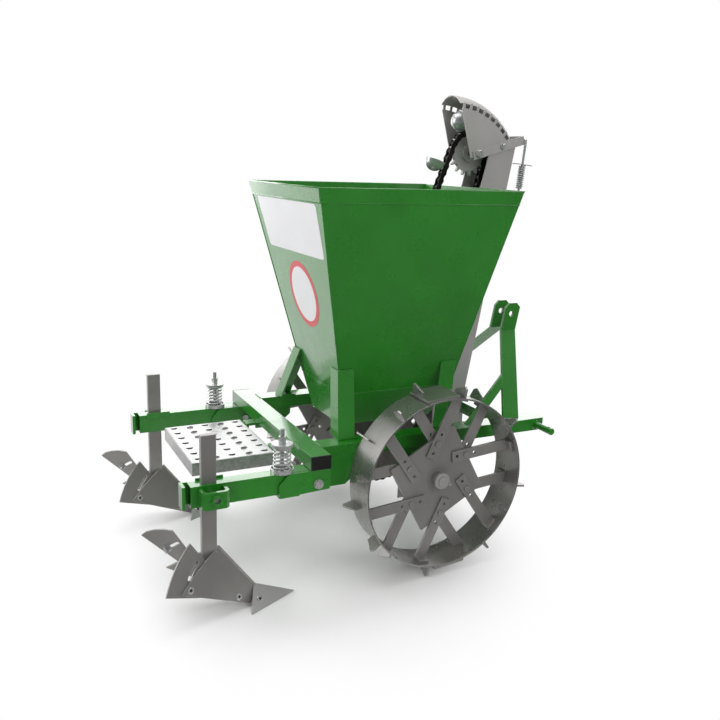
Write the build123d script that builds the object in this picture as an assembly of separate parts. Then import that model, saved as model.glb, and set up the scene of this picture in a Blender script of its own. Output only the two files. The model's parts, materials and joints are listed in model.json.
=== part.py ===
from build123d import *
import math
import os

# Single-row potato planter for a small tractor's three-point hitch.
# Lengths in millimetres. X points forward, Y to the left, Z up.
# The machine is drawn level, with the axle's centre as its zero, and parked at the end.

# Square tube, flat bar and sheet
TUBE_W = 60.0
TUBE_H = 40.0
TUBE_WALL = 4.0
PLATE_T = 8.0
SHEET_T = 3.0
SEAT = 0.3

# Wheels and axle
RIM_R = 264.0
RIM_W = 117.0
RIM_T = 5.0
WHEEL_Y = 371.5
LUG_COUNT = 16
LUG_H = 34.0
LUG_W = 56.0
LUG_T = 5.0
JOINT_PLATE_L = 104.0
AXLE_R = 15.0
AXLE_END = 4.0
HUB_R = 24.0
HUB_L = 34.0
HUB_PLATE = 240.0
HUB_PLATE_TURN = -29.0
SPOKE_COUNT = 6
SPOKE_W = 34.0
SPOKE_OFFSET = 58.0
SPOKE_ROOT = 50.0
SPOKE_TURN = 25.0
SPOKE_FOOT = 34.0
SPOKE_HOLE_R = 5.5
SPOKE_HOLES = (66.0, 128.0)

# Main frame
BEAM_TOP = 115.0
BEAM_OUT_Y = 292.0
BEAM_FRONT_X = 454.0
CROSS_REAR_X = -407.0
CROSS_HALF = 360.0
FRONT_CROSS_X = 296.0
CAP_T = 5.0
GUSSET_L = 130.0
GUSSET_DROP = 85.0
BEARING_R = 38.0
BEARING_L = 30.0
BEARING_PLATE_L = 150.0

# Hitch
MAST_FOOT_X = 346.0
MAST_HOLE_X = 487.0
MAST_HOLE_Z = 417.0
MAST_KINK_X = 478.0
MAST_KINK_Z = 358.0
MAST_TOP_Z = 455.0
MAST_W = 60.0
MAST_T = 10.0
MAST_GAP = 52.0
MAST_CORNER = 16.0
TOP_PIN_R = 9.8
BRACE_W = 44.0
BRACE_BACK_X = 190.0
BRACE_TOP_Z = 240.0
LINK_PIN_R = 11.0
LINK_ROOT_R = 14.0
LINK_PIN_X = 424.0
LINK_PIN_L = 84.0
LINCH_R = 5.5

# Hopper
HOPPER_TOP = 847.0
HOPPER_RIM = 40.0
HOPPER_REAR_X = -370.0
HOPPER_FRONT_X = 303.0
HOPPER_HALF = 290.0
FLOOR_Z = 223.0
FLOOR_REAR_X = -225.0
FLOOR_FRONT_X = 170.0
FLOOR_HALF = 155.0
THROAT_Z = 110.0
THROAT_REAR_X = -205.0
THROAT_FRONT_X = 118.0
THROAT_HALF = 112.0
SLOT_REAR_X = -188.0
SLOT_FRONT_X = 106.0
SLOT_HALF = 44.0
LEG_W = 54.0
LEG_T = 5.0
LEG_TOP_Z = 305.0
LEG_FOOT_W = 64.0
LEG_REAR_X = -282.0
LEG_FRONT_X = 100.0
LEG_FRONT_TOP_X = 170.0
LEG_FOOT_Y = 258.0

# Elevator
CHAIN_PITCH = 25.4
HEAD_X = 285.0
HEAD_Z = HOPPER_TOP + 110.0
HEAD_TEETH = 16
FOOT_TEETH = 34
SPROCKET_T = 12.0
SPROCKET_HUB_R = 28.0
SPROCKET_HUB_L = 34.0
HEAD_SHAFT_R = 10.0
CHAIN_LINKS = 105
CHAIN_IN = 8.0
CHAIN_PLATE_T = 3.0
CHAIN_WIDE = 10.0
CHAIN_WAIST = 7.5
ROLLER_R = 7.5
CUP_EVERY = 5
CUP_FIRST = 2
CUP_R = 28.0
CUP_T = 2.0
CUP_OUT = 38.8
CUP_STEM_T = 3.0
CHUTE_HALF = 57.5
CHUTE_FRONT_X = 410.0
CHUTE_FRONT_Z = HOPPER_TOP + 6.0
CHUTE_LEAN = 9.5
CHUTE_TOP_DROP = 6.0
CHUTE_FOOT_Z = -30.0
CHUTE_DEPTH = 104.0
HOOD_X = 208.0
HOOD_Z = HOPPER_TOP + 18.0
HOOD_R = 270.0
HOOD_EDGE_R = 243.0
HOOD_END_DEG = 32.0
HEAD_PLATE_R = 229.0
HEAD_PLATE_REAR = (213.0, 257.0)
TAB_COUNT = 9
TAB_W = 9.0
STRAP_H = 28.0
STRAP_T = 4.0
STRAP_REAR = (265.0, HOPPER_TOP + 102.0)
STRAP_FRONT = (461.0, HOPPER_TOP + 159.0)
TENSION_R = 4.0
TENSION_FOOT = (443.0, HOPPER_TOP - 77.0)
TENSION_STOP_Z = HOPPER_TOP + 80.0
TENSION_COIL_R = 8.0
TENSION_STOP_L = 64.0

# Furrow opener
OPENER_NOSE_X = 335.0
OPENER_REAR_X = 118.0
OPENER_HALF = 66.0
OPENER_TOP_Z = -95.0
OPENER_FOOT_Z = -262.0

# Ridger arms
ARM_Y = 325.0
ARM_W = 40.0
ARM_H = 60.0
ARM_TOP = 73.0
ARM_REAR_X = -745.0
ARM_FRONT_X = -362.0
ARM_PIVOT_X = -383.0
ARM_PIVOT_Z = 32.0
PIVOT_R = 10.0
BRACKET_REAR_X = -500.0
BRACKET_GAP = 2.0
SPRING_X = -482.0
SPRING_R = 24.0
SPRING_WIRE = 3.0
SPRING_TURNS = 5
SPRING_PITCH = 14.0
SPRING_CUP_R = 33.0
SPRING_CUP_H = 12.0
SPRING_CAP_R = 30.0
SPRING_ROD_R = 6.0
SPRING_ROD_UP = 40.0
NUT_ACROSS = 19.0
NUT_H = 10.0
CLAMP_REAR_X = -724.0
CLAMP_FRONT_X = -650.0
CLAMP_OUT_Y = 388.0
CLAMP_T = 9.0
CLAMP_H = 48.0
CLAMP_CORNER = 9.0
CLAMP_SCREW_X = -687.0
CLAMP_SCREW_Z = 45.0
CLAMP_SCREW_R = 8.0
CLAMP_BOSS_R = 14.0
CLAMP_BOSS_L = 8.0

# Foot plate
STEP_REAR_X = -694.0
STEP_FRONT_X = -442.0
STEP_HALF = 168.0
STEP_TOP = 70.0
STEP_EDGE = 40.0
STEP_BRACKET_Y = 120.0
STEP_BRACKET_W = 40.0
STEP_HOLE_R = 9.0
STEP_HOLE_GRID = (5, 7)

# Ridgers
SHANK_REAR_X = -713.0
SHANK_W = 41.0
SHANK_T = 18.0
SHANK_TOP = 208.0
SHANK_FOOT = -195.0
SHANK_PLAY = 0.4
BODY_T = 5.0
POINT_TIP = (-438.0, -303.0)
POINT_TOP = (-563.0, -252.0)
POINT_FOOT = (-592.0, -309.0)
POINT_SPREAD = 70.0
BODY_TOP = (-664.0, -116.0)
BODY_BACK = (-742.0, -160.0)
BODY_REAR_FOOT = (-790.0, -197.0)
BODY_NOSE_FOOT = (-580.0, -300.0)
BODY_NOSE = (-556.0, -258.0)
BODY_SPREAD = 85.0
WING_PIVOT = (-622.0, -268.0)
WING_R = 223.0
WING_ROOT_R = 22.0
WING_T = 4.0
WING_DEG = (-2.0, 33.0)
WING_ARC_STEPS = 8
HIGH_WING = ((-781.0, -61.0), (-803.0, -57.0), (-826.0, -59.0), (-845.0, -66.0), (-856.0, -78.0))
HIGH_WING_PIVOT = (-657.0, -268.0)


def block(x, y, z):
    """Box between pairs of limits."""
    middle = Pos((x[0] + x[1]) / 2, (y[0] + y[1]) / 2, (z[0] + z[1]) / 2)
    return middle * Box(x[1] - x[0], y[1] - y[0], z[1] - z[0])


def slab(points, y0, y1):
    """Outline in X and Z, as thick as y0 to y1."""
    face = make_face(Polyline(*points, close=True))
    return extrude(Plane.XZ.offset(-y1) * face, amount=y1 - y0)


def bar_y(x, z, r, y0, y1):
    """Round bar along Y."""
    return Pos(x, (y0 + y1) / 2, z) * Rot(X=90) * Cylinder(r, y1 - y0)


def rod(start, end, r):
    """Round bar between two points."""
    along = Vector(*end) - Vector(*start)
    return Solid.make_cylinder(r, along.length, Plane(origin=start, z_dir=along))


def hexagon(start, end, across):
    """Hexagonal bar between two points, such as a nut or a bolt's head."""
    along = Vector(*end) - Vector(*start)
    face = Plane(origin=start, z_dir=along) * RegularPolygon(across / 2, 6, major_radius=False)
    return extrude(face, amount=along.length, dir=along.normalized())


def other_side(shape):
    """The like piece on the other side of the machine."""
    return mirror(shape, about=Plane.XZ)


def tube(x, y, z, along):
    """Hollow rectangular tube between limits, open at both ends of one axis."""
    inner = [[lo + TUBE_WALL, hi - TUBE_WALL] for lo, hi in (x, y, z)]
    run = "xyz".index(along)
    inner[run] = [(x, y, z)[run][0] - 1, (x, y, z)[run][1] + 1]
    return block(x, y, z) - block(*inner)


def frustum(low, low_z, high, high_z):
    """Straight-sided solid between two level rectangles (x0, x1, y0, y1)."""
    def level(rect, z):
        x0, x1, y0, y1 = rect
        return make_face(Polyline((x0, y0, z), (x1, y0, z), (x1, y1, z), (x0, y1, z), close=True))
    return loft([level(low, low_z), level(high, high_z)], ruled=True)


# Values that follow from the sizes above
BEAM_IN_Y = BEAM_OUT_Y - TUBE_W
BEAM_LOW = BEAM_TOP - TUBE_H
CROSS_FRONT_X = CROSS_REAR_X + TUBE_W
LUG_TIP_R = RIM_R + LUG_H
LUG_STEP = 360.0 / LUG_COUNT
lug_lean = math.radians(LUG_STEP / 2)
WHEEL_DROP = LUG_TIP_R * math.cos(lug_lean) + LUG_T / 2 * math.sin(lug_lean)
HEAD_R = CHAIN_PITCH / (2 * math.sin(math.pi / HEAD_TEETH))
FOOT_R = CHAIN_PITCH / (2 * math.sin(math.pi / FOOT_TEETH))


def rest_angle(place):
    """Turn about the axle that brings a point behind it down to the ground."""
    x, z = place
    return math.degrees(math.asin(-WHEEL_DROP / math.hypot(x, z)) - math.atan2(z, -x))


PARK_DEG = max(rest_angle(POINT_TIP), rest_angle(POINT_FOOT))

nodes = {}


def add(name, *solids):
    """Keep the pieces of one node."""
    nodes[name] = list(solids)


def add_pair(name, *solids):
    """Keep the pieces of a node on the left and their like on the right."""
    add(name + "_left", *solids)
    add(name + "_right", *[other_side(s) for s in solids])


def add_both(name, *solids):
    """Keep the pieces of the left side and their like on the right in one node."""
    add(name, *solids, *[other_side(s) for s in solids])


# Wheels

def about_axle(shape, degrees):
    """Turn a piece round the axle, clockwise seen from the left side."""
    return Rot(Y=degrees) * shape


def ring(r_out, r_in, y0, y1):
    return bar_y(0, 0, r_out, y0, y1) - bar_y(0, 0, r_in, y0 - 1, y1 + 1)


def make_lug(outer_half):
    """Pointed plate that stands on one half of the rim's width."""
    root = RIM_R - RIM_T / 2
    half = RIM_W / 2
    outline = [(half, root), (half, RIM_R + 0.8 * LUG_H), (half - 0.2 * LUG_W, LUG_TIP_R),
               (half - LUG_W, RIM_R + 0.45 * LUG_H), (half - LUG_W, root)]
    side = 1 if outer_half else -1
    face = make_face(Polyline(*[(WHEEL_Y + side * y, z) for y, z in outline], close=True))
    return extrude(Plane.YZ * face, amount=LUG_T / 2, both=True)


def make_rim():
    """Rolled band with its paddle lugs and the two plates that join its halves."""
    y0 = WHEEL_Y - RIM_W / 2
    y1 = WHEEL_Y + RIM_W / 2
    rim = ring(RIM_R, RIM_R - RIM_T, y0, y1)
    for i in range(LUG_COUNT):
        rim += about_axle(make_lug(i % 2 == 0), LUG_STEP * (i + 0.5) - PARK_DEG)
    for turn in (-LUG_STEP / 4, 180 - LUG_STEP / 4):
        plate = block((-JOINT_PLATE_L / 2, JOINT_PLATE_L / 2), (y0 + 2, y1 - 2),
                      (RIM_R - RIM_T / 2, RIM_R + RIM_T))
        plate -= bar_y(0, 0, RIM_R - RIM_T / 2, y0, y1)
        rim += about_axle(plate, turn)
    return rim


def spoke_holes(turn, side=1):
    """Cutter for a spoke's two bolt holes."""
    y = (WHEEL_Y - 2 * PLATE_T, WHEEL_Y + 2 * PLATE_T)
    first, second = [bar_y(-side * SPOKE_OFFSET, along, SPOKE_HOLE_R, *y) for along in SPOKE_HOLES]
    return about_axle(first + second, turn)


def make_hub():
    """Square plate with the sleeve that slides on the axle."""
    half = HUB_PLATE / 2
    plate = block((-half, half), (WHEEL_Y - PLATE_T / 2, WHEEL_Y + PLATE_T / 2), (-half, half))
    hub = about_axle(plate, HUB_PLATE_TURN)
    hub += bar_y(0, 0, HUB_R, WHEEL_Y - HUB_L, WHEEL_Y + HUB_L)
    for i in range(SPOKE_COUNT):
        hub -= spoke_holes(SPOKE_TURN + 360.0 / SPOKE_COUNT * i)
    return hub - bar_y(0, 0, AXLE_R + SEAT, WHEEL_Y - HUB_L - 1, WHEEL_Y + HUB_L + 1)


def make_spokes():
    """Flat bars on both faces of the hub plate, each with a foot on the rim."""
    inside = RIM_R - RIM_T - SEAT / 2
    spokes = []
    for side in (1, -1):
        y0 = WHEEL_Y + side * PLATE_T / 2
        y1 = y0 + side * PLATE_T
        foot_y = y0 + side * SPOKE_FOOT
        x0 = -side * (SPOKE_OFFSET - SPOKE_W / 2)
        x1 = -side * (SPOKE_OFFSET + SPOKE_W / 2)
        limits = (min(x0, x1), max(x0, x1))
        bar = block(limits, (min(y0, y1), max(y0, y1)), (SPOKE_ROOT, RIM_R))
        foot = block(limits, (min(y0, foot_y), max(y0, foot_y)), (SPOKE_ROOT, RIM_R))
        bar = bar & bar_y(0, 0, inside, WHEEL_Y - RIM_W, WHEEL_Y + RIM_W)
        foot = foot & ring(inside, inside - PLATE_T, WHEEL_Y - RIM_W, WHEEL_Y + RIM_W)
        spoke = bar + foot - spoke_holes(0, side)
        for i in range(SPOKE_COUNT):
            spokes.append(about_axle(spoke, SPOKE_TURN + 360.0 / SPOKE_COUNT * i))
    return spokes


add_pair("wheel_rim", make_rim())
add_pair("wheel_hub", make_hub())
add_pair("wheel_spokes", *make_spokes())
axle_half = WHEEL_Y + HUB_L + AXLE_END
add("axle", bar_y(0, 0, AXLE_R, -axle_half, axle_half))

# Main frame
side_beam = tube((CROSS_FRONT_X, BEAM_FRONT_X), (BEAM_IN_Y, BEAM_OUT_Y), (BEAM_LOW, BEAM_TOP), "x")
link_pin_z = (BEAM_LOW + BEAM_TOP) / 2
side_beam -= bar_y(LINK_PIN_X, link_pin_z, LINK_ROOT_R + SEAT, BEAM_IN_Y - 1, BEAM_OUT_Y + 1)
cross_y = (-CROSS_HALF + CAP_T, CROSS_HALF - CAP_T)
add("rear_cross_beam", tube((CROSS_REAR_X, CROSS_FRONT_X), cross_y, (BEAM_LOW, BEAM_TOP), "y"))
cap = block((CROSS_REAR_X, CROSS_FRONT_X), (CROSS_HALF - CAP_T, CROSS_HALF), (BEAM_LOW, BEAM_TOP))
cap_plug = block((CROSS_REAR_X + TUBE_WALL + SEAT, CROSS_FRONT_X - TUBE_WALL - SEAT),
                 (CROSS_HALF - 4 * CAP_T, CROSS_HALF - CAP_T),
                 (BEAM_LOW + TUBE_WALL + SEAT, BEAM_TOP - TUBE_WALL - SEAT))
add_both("cross_beam_caps", cap + cap_plug)
add("front_cross_beam", tube((FRONT_CROSS_X, FRONT_CROSS_X + TUBE_W), (-BEAM_IN_Y, BEAM_IN_Y),
                             (BEAM_LOW, BEAM_TOP), "y"))

gusset = slab([(CROSS_FRONT_X, BEAM_LOW), (CROSS_FRONT_X, BEAM_LOW - GUSSET_DROP),
               (CROSS_FRONT_X + 0.6 * GUSSET_L, BEAM_LOW - GUSSET_DROP),
               (CROSS_FRONT_X + GUSSET_L, BEAM_LOW - 0.5 * GUSSET_DROP),
               (CROSS_FRONT_X + GUSSET_L, BEAM_LOW)], BEAM_OUT_Y - PLATE_T, BEAM_OUT_Y)
add_pair("side_beam", side_beam + gusset)

bearing_y = BEAM_OUT_Y - PLATE_T
half_plate = BEARING_PLATE_L / 2
bearing_plate = slab([(-half_plate, BEAM_LOW), (-0.6 * half_plate, -1.2 * BEARING_R),
                      (0.6 * half_plate, -1.2 * BEARING_R), (half_plate, BEAM_LOW)],
                     bearing_y - PLATE_T, bearing_y)
housing = bar_y(0, 0, BEARING_R, bearing_y - PLATE_T - BEARING_L, bearing_y - PLATE_T)
axle_bore = bar_y(0, 0, AXLE_R + SEAT, 0, WHEEL_Y)
add_both("axle_bearings", bearing_plate + housing - axle_bore)

# Hitch mast: two flat bars that lean in and forward from the beams to upright ears
ear_in = MAST_GAP / 2
ear_out = ear_in + MAST_T
foot_in = BEAM_OUT_Y - TUBE_W / 2 - MAST_T
foot_out = foot_in + MAST_T
mast_y = (foot_in + foot_out) / 2


def leaning_bar(start, end, wide, thick):
    """Bar of level rectangular section between two points."""
    run = Vector(*end) - Vector(*start)
    return extrude(Plane(origin=start) * Rectangle(wide, thick), amount=run.length, dir=run.normalized())


mast_foot = (MAST_FOOT_X, mast_y, BEAM_TOP)
mast_kink = (MAST_KINK_X, (ear_in + ear_out) / 2, MAST_KINK_Z)
ear_lean = (MAST_HOLE_X - MAST_KINK_X) / (MAST_HOLE_Z - MAST_KINK_Z)
ear_top_x = MAST_KINK_X + (MAST_TOP_Z - MAST_KINK_Z) * ear_lean
half_w = MAST_W / 2
ear = slab([(MAST_KINK_X - half_w, MAST_KINK_Z), (ear_top_x - half_w, MAST_TOP_Z - MAST_CORNER),
            (ear_top_x - half_w + MAST_CORNER, MAST_TOP_Z), (ear_top_x + half_w - MAST_CORNER, MAST_TOP_Z),
            (ear_top_x + half_w, MAST_TOP_Z - MAST_CORNER), (MAST_KINK_X + half_w, MAST_KINK_Z)], ear_in, ear_out)
mast_bar = leaning_bar(mast_foot, mast_kink, MAST_W, MAST_T) + ear
mast_bar -= bar_y(MAST_HOLE_X, MAST_HOLE_Z, TOP_PIN_R, 0, BEAM_OUT_Y)

brace_share = (BRACE_TOP_Z - BEAM_TOP) / (MAST_KINK_Z - BEAM_TOP)
brace_top = Vector(*mast_foot) * (1 - brace_share) + Vector(*mast_kink) * brace_share
brace = leaning_bar((BRACE_BACK_X, mast_y, BEAM_TOP), tuple(brace_top), BRACE_W, PLATE_T)
add_pair("mast", mast_bar + brace)

link_pin = bar_y(LINK_PIN_X, link_pin_z, LINK_PIN_R, BEAM_OUT_Y, BEAM_OUT_Y + LINK_PIN_L)
link_pin += bar_y(LINK_PIN_X, link_pin_z, LINK_ROOT_R, BEAM_IN_Y, BEAM_OUT_Y)
linch_y = BEAM_OUT_Y + LINK_PIN_L - 2.5 * LINCH_R
link_pin -= Pos(LINK_PIN_X, linch_y, link_pin_z) * Cylinder(LINCH_R, 4 * LINK_PIN_R)
add_both("link_pins", link_pin)

# Hopper of four sheets with a band along the top, above a throat that closes round the elevator's foot
RIM_LOW = HOPPER_TOP - HOPPER_RIM


def wall_at(floor, top, z):
    """Place of a sloping sheet's outer face at a level."""
    return floor + (top - floor) * (z - FLOOR_Z) / (HOPPER_TOP - FLOOR_Z)


rim_rear, rim_front = [wall_at(floor, top, RIM_LOW) for floor, top in
                       ((FLOOR_REAR_X, HOPPER_REAR_X), (FLOOR_FRONT_X, HOPPER_FRONT_X))]
rim_half = wall_at(FLOOR_HALF, HOPPER_HALF, RIM_LOW)


def side_sheet():
    low = (FLOOR_REAR_X, FLOOR_FRONT_X, FLOOR_HALF - SHEET_T, FLOOR_HALF)
    high = (HOPPER_REAR_X, HOPPER_FRONT_X, HOPPER_HALF - SHEET_T, HOPPER_HALF)
    band = frustum((rim_rear, rim_front, rim_half, rim_half + SHEET_T), RIM_LOW,
                   (HOPPER_REAR_X, HOPPER_FRONT_X, HOPPER_HALF, HOPPER_HALF + SHEET_T), HOPPER_TOP)
    return frustum(low, FLOOR_Z, high, HOPPER_TOP) + band


def end_sheet(floor_x, top_x, inward, band_y):
    low = sorted((floor_x, floor_x + inward * SHEET_T)) + [-FLOOR_HALF + SHEET_T, FLOOR_HALF - SHEET_T]
    high = sorted((top_x, top_x + inward * SHEET_T)) + [-HOPPER_HALF + SHEET_T, HOPPER_HALF - SHEET_T]
    sheet = frustum(low, FLOOR_Z, high, HOPPER_TOP)
    rim_x = wall_at(floor_x, top_x, RIM_LOW)
    for y0, low_y, high_y in band_y:
        sheet += frustum(sorted((rim_x, rim_x - inward * SHEET_T)) + sorted((y0, low_y)), RIM_LOW,
                         sorted((top_x, top_x - inward * SHEET_T)) + sorted((y0, high_y)), HOPPER_TOP)
    return sheet


rim_in, top_in = rim_half - SHEET_T, HOPPER_HALF - SHEET_T
beside_chute = CHUTE_HALF + 2 * SHEET_T
add_pair("hopper_side", side_sheet())
add("hopper_rear", end_sheet(FLOOR_REAR_X, HOPPER_REAR_X, 1, [(0, rim_in, top_in), (0, -rim_in, -top_in)]))
add("hopper_front", end_sheet(FLOOR_FRONT_X, HOPPER_FRONT_X, -1,
                              [(beside_chute, rim_in, top_in), (-beside_chute, -rim_in, -top_in)]))

throat_low = (THROAT_REAR_X, THROAT_FRONT_X, -THROAT_HALF, THROAT_HALF)
throat_high = (FLOOR_REAR_X, FLOOR_FRONT_X, -FLOOR_HALF, FLOOR_HALF)


def shrunk(rect):
    x0, x1, y0, y1 = rect
    return (x0 + SHEET_T, x1 - SHEET_T, y0 + SHEET_T, y1 - SHEET_T)


throat = frustum(throat_low, THROAT_Z, throat_high, FLOOR_Z)
throat -= frustum(shrunk(throat_low), THROAT_Z + SHEET_T, shrunk(throat_high), FLOOR_Z)
throat -= block((SLOT_REAR_X, SLOT_FRONT_X), (-SLOT_HALF, SLOT_HALF), (THROAT_Z - 1, THROAT_Z + 2 * SHEET_T))
add("hopper_throat", throat)

leg_foot_z = BEAM_TOP + LEG_T
leg_foot_y = LEG_FOOT_Y + LEG_T
leg_top_y = wall_at(FLOOR_HALF, HOPPER_HALF, LEG_TOP_Z) + LEG_T + SEAT


def make_leg(section, foot_x, top_x, forward):
    """Leg of one section, given in X and Y, from the hopper's side down to a bolted foot on the beam."""
    outline = [(foot_x + x, leg_foot_y + y, leg_foot_z) for x, y in section]
    slide = Vector(top_x - foot_x, leg_top_y - leg_foot_y, LEG_TOP_Z - leg_foot_z)
    leg = extrude(make_face(Polyline(*outline, close=True)), amount=slide.length, dir=slide.normalized())
    pad_x = sorted((foot_x, foot_x - forward * LEG_FOOT_W))
    return leg + block(pad_x, (LEG_FOOT_Y - LEG_W / 2, leg_foot_y), (BEAM_TOP, leg_foot_z))


angle_iron = [(0, 0), (LEG_W, 0), (LEG_W, -LEG_T), (LEG_T, -LEG_T), (LEG_T, -LEG_W), (0, -LEG_W)]
flat_iron = [(0, 0), (-LEG_W, 0), (-LEG_W, -LEG_T), (0, -LEG_T)]
rear_corner = wall_at(FLOOR_REAR_X, HOPPER_REAR_X, LEG_TOP_Z) - LEG_T - SEAT
add_both("hopper_legs", make_leg(angle_iron, LEG_REAR_X, rear_corner, -1),
         make_leg(flat_iron, LEG_FRONT_X, LEG_FRONT_TOP_X, 1))

# Elevator chain: two sprockets, a loop of links and the seed cups
span = math.hypot(HEAD_X, HEAD_Z)
leg_angle = math.atan2(HEAD_X, HEAD_Z)
taper = math.asin((FOOT_R - HEAD_R) / span)
straight = math.sqrt(span ** 2 - (FOOT_R - HEAD_R) ** 2)
foot_wrap = math.pi + 2 * taper
head_wrap = math.pi - 2 * taper
foot_links = foot_wrap * FOOT_TEETH / (2 * math.pi)
head_links = head_wrap * HEAD_TEETH / (2 * math.pi)
run_links = (CHAIN_LINKS - foot_links - head_links) / 2


def chain_point(step, out=0.0):
    """Point of the loop after so many links, out from its pitch line, with the way out.

    The count starts where the rising run leaves the foot sprocket, at the rear."""
    step = step % CHAIN_LINKS
    rear = Vector(-math.cos(leg_angle + taper), 0, math.sin(leg_angle + taper))
    front = Vector(math.cos(leg_angle - taper), 0, -math.sin(leg_angle - taper))
    head = Vector(HEAD_X, 0, HEAD_Z)
    if step < run_links:
        share = step / run_links
        base = (rear * FOOT_R) * (1 - share) + (head + rear * HEAD_R) * share
        normal = rear
    elif step < run_links + head_links:
        turn = (step - run_links) * 2 * math.pi / HEAD_TEETH
        normal = rear.rotate(Axis.Y, math.degrees(turn))
        base = head + normal * HEAD_R
    elif step < 2 * run_links + head_links:
        share = (step - run_links - head_links) / run_links
        base = (head + front * HEAD_R) * (1 - share) + (front * FOOT_R) * share
        normal = front
    else:
        turn = (step - 2 * run_links - head_links) * 2 * math.pi / FOOT_TEETH
        normal = front.rotate(Axis.Y, math.degrees(turn))
        base = normal * FOOT_R
    return base + normal * out, normal


def chain_outline(sign):
    """Edge of the link plates: wide at the rollers, narrow between them."""
    points = []
    for link in range(CHAIN_LINKS):
        for part, width in ((0.0, CHAIN_WIDE), (0.5, CHAIN_WAIST)):
            point, _ = chain_point(link + part, sign * width)
            points.append((point.X, point.Z))
    return make_face(Polyline(*points, close=True))


def make_chain():
    band = chain_outline(1) - chain_outline(-1)
    plate = extrude(Plane.XZ.offset(-CHAIN_IN - CHAIN_PLATE_T) * band, amount=CHAIN_PLATE_T)
    rollers = []
    for link in range(CHAIN_LINKS):
        point, normal = chain_point(link)
        place = Plane(origin=(point.X, CHAIN_IN, point.Z), x_dir=normal, z_dir=(0, -1, 0))
        rollers.append(extrude(place * RegularPolygon(ROLLER_R, 6), amount=2 * CHAIN_IN))
    return plate.fuse(other_side(plate), *rollers)


def make_sprocket(teeth, pitch_r, centre, phase, hub_half, bore_r):
    """Plate wheel whose gaps hold the chain's rollers."""
    step = 2 * math.pi / teeth
    root = pitch_r - ROLLER_R - SEAT
    tip = pitch_r + 0.9 * ROLLER_R
    corners = []
    for tooth in range(teeth):
        for share, r in ((-0.22, root), (-0.14, pitch_r), (-0.06, tip),
                         (0.06, tip), (0.14, pitch_r), (0.22, root)):
            turn = phase + (tooth + 0.5 + share) * step
            corners.append((centre.X + r * math.cos(turn), centre.Z + r * math.sin(turn)))
    wheel = slab(corners, -SPROCKET_T / 2, SPROCKET_T / 2)
    wheel += bar_y(centre.X, centre.Z, SPROCKET_HUB_R, -hub_half, hub_half)
    return wheel - bar_y(centre.X, centre.Z, bore_r, -hub_half - 1, hub_half + 1)


def make_cup(link):
    """Round seed cup on a flat stem, mouth up on the rising run."""
    point, normal = chain_point(link)
    travel = Vector(normal.Z, 0, -normal.X)
    seat = Plane(origin=point + normal * CUP_OUT, x_dir=normal, z_dir=travel)
    inner = CUP_R - CUP_T
    half = math.sqrt(0.5)
    arc_out = ThreePointArc((0, -CUP_R), (CUP_R * half, -CUP_R * half), (CUP_R, 0))
    arc_in = ThreePointArc((inner, 0), (inner * half, -inner * half), (0, -inner))
    profile = arc_out + Line((CUP_R, 0), (inner, 0)) + arc_in + Line((0, -inner), (0, -CUP_R))
    bowl = revolve(Plane.XZ * make_face(profile), axis=Axis.Z)
    stem_x = (CHAIN_WIDE - CUP_OUT + SEAT, -0.7 * inner)
    stem = block(stem_x, (-0.4 * CUP_R, 0.4 * CUP_R), (-0.66 * CUP_R, -0.66 * CUP_R + CUP_STEM_T))
    clip = block((stem_x[0], stem_x[0] + CUP_STEM_T), (-0.4 * CUP_R, 0.4 * CUP_R), (-0.66 * CUP_R, CUP_STEM_T))
    return seat * (bowl + stem + clip)


foot_centre = Vector(0, 0, 0)
head_centre = Vector(HEAD_X, 0, HEAD_Z)


def tooth_phase(link, centre):
    """Angle at which a roller lies, seen from a sprocket's centre."""
    point, _ = chain_point(link)
    return math.atan2(point.Z - centre.Z, point.X - centre.X)


first_on_head = math.ceil(run_links)
first_on_foot = math.ceil(2 * run_links + head_links)
hub_half = SPROCKET_HUB_L / 2
add("elevator_chain", make_chain())
add("foot_sprocket", make_sprocket(FOOT_TEETH, FOOT_R, foot_centre, tooth_phase(first_on_foot, foot_centre),
                                   hub_half, AXLE_R + SEAT))
head_wheel = make_sprocket(HEAD_TEETH, HEAD_R, head_centre, tooth_phase(first_on_head, head_centre),
                           hub_half, HEAD_SHAFT_R + SEAT)
add("head_sprocket", head_wheel)
add("head_shaft", bar_y(HEAD_X, HEAD_Z, HEAD_SHAFT_R, -CHUTE_HALF - 2 * STRAP_T, CHUTE_HALF + 2 * STRAP_T))
add("seed_cups", *[make_cup(link) for link in range(CUP_FIRST, CHAIN_LINKS, CUP_EVERY)])

# Chute of the falling run, with the hood and side plates of the elevator's head
slope = math.tan(math.radians(CHUTE_LEAN))


def chute_front(z, back=0.0):
    return CHUTE_FRONT_X + (z - CHUTE_FRONT_Z) * slope - back


def front_wall(z):
    """Just ahead of the hopper's front sheet at a level."""
    return wall_at(FLOOR_FRONT_X, HOPPER_FRONT_X, z) + SEAT


def strap_line(x):
    """Height of the strap's middle at a place along it."""
    (x0, z0), (x1, z1) = STRAP_REAR, STRAP_FRONT
    return z0 + (z1 - z0) * (x - x0) / (x1 - x0)


chute_top_x = chute_front(strap_line(CHUTE_FRONT_X + 2 * CHUTE_TOP_DROP))


def chute_outline(back, over):
    """Side view of the chute; it closes against the hopper's front sheet and ends under the strap."""
    above = HOPPER_TOP + HOPPER_RIM / 8
    front_x, rear_x = chute_top_x - back, chute_top_x - CHUTE_DEPTH - over
    return [(front_x, strap_line(chute_top_x) - CHUTE_TOP_DROP + over),
            (chute_front(CHUTE_FOOT_Z - over, back), CHUTE_FOOT_Z - over),
            (front_wall(FLOOR_Z) - over, CHUTE_FOOT_Z - over), (front_wall(FLOOR_Z) - over, FLOOR_Z),
            (front_wall(HOPPER_TOP) - over, HOPPER_TOP), (front_wall(HOPPER_TOP) - over, above),
            (chute_front(above, CHUTE_DEPTH) - over, above),
            (rear_x, strap_line(rear_x) - CHUTE_TOP_DROP + over)]


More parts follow.
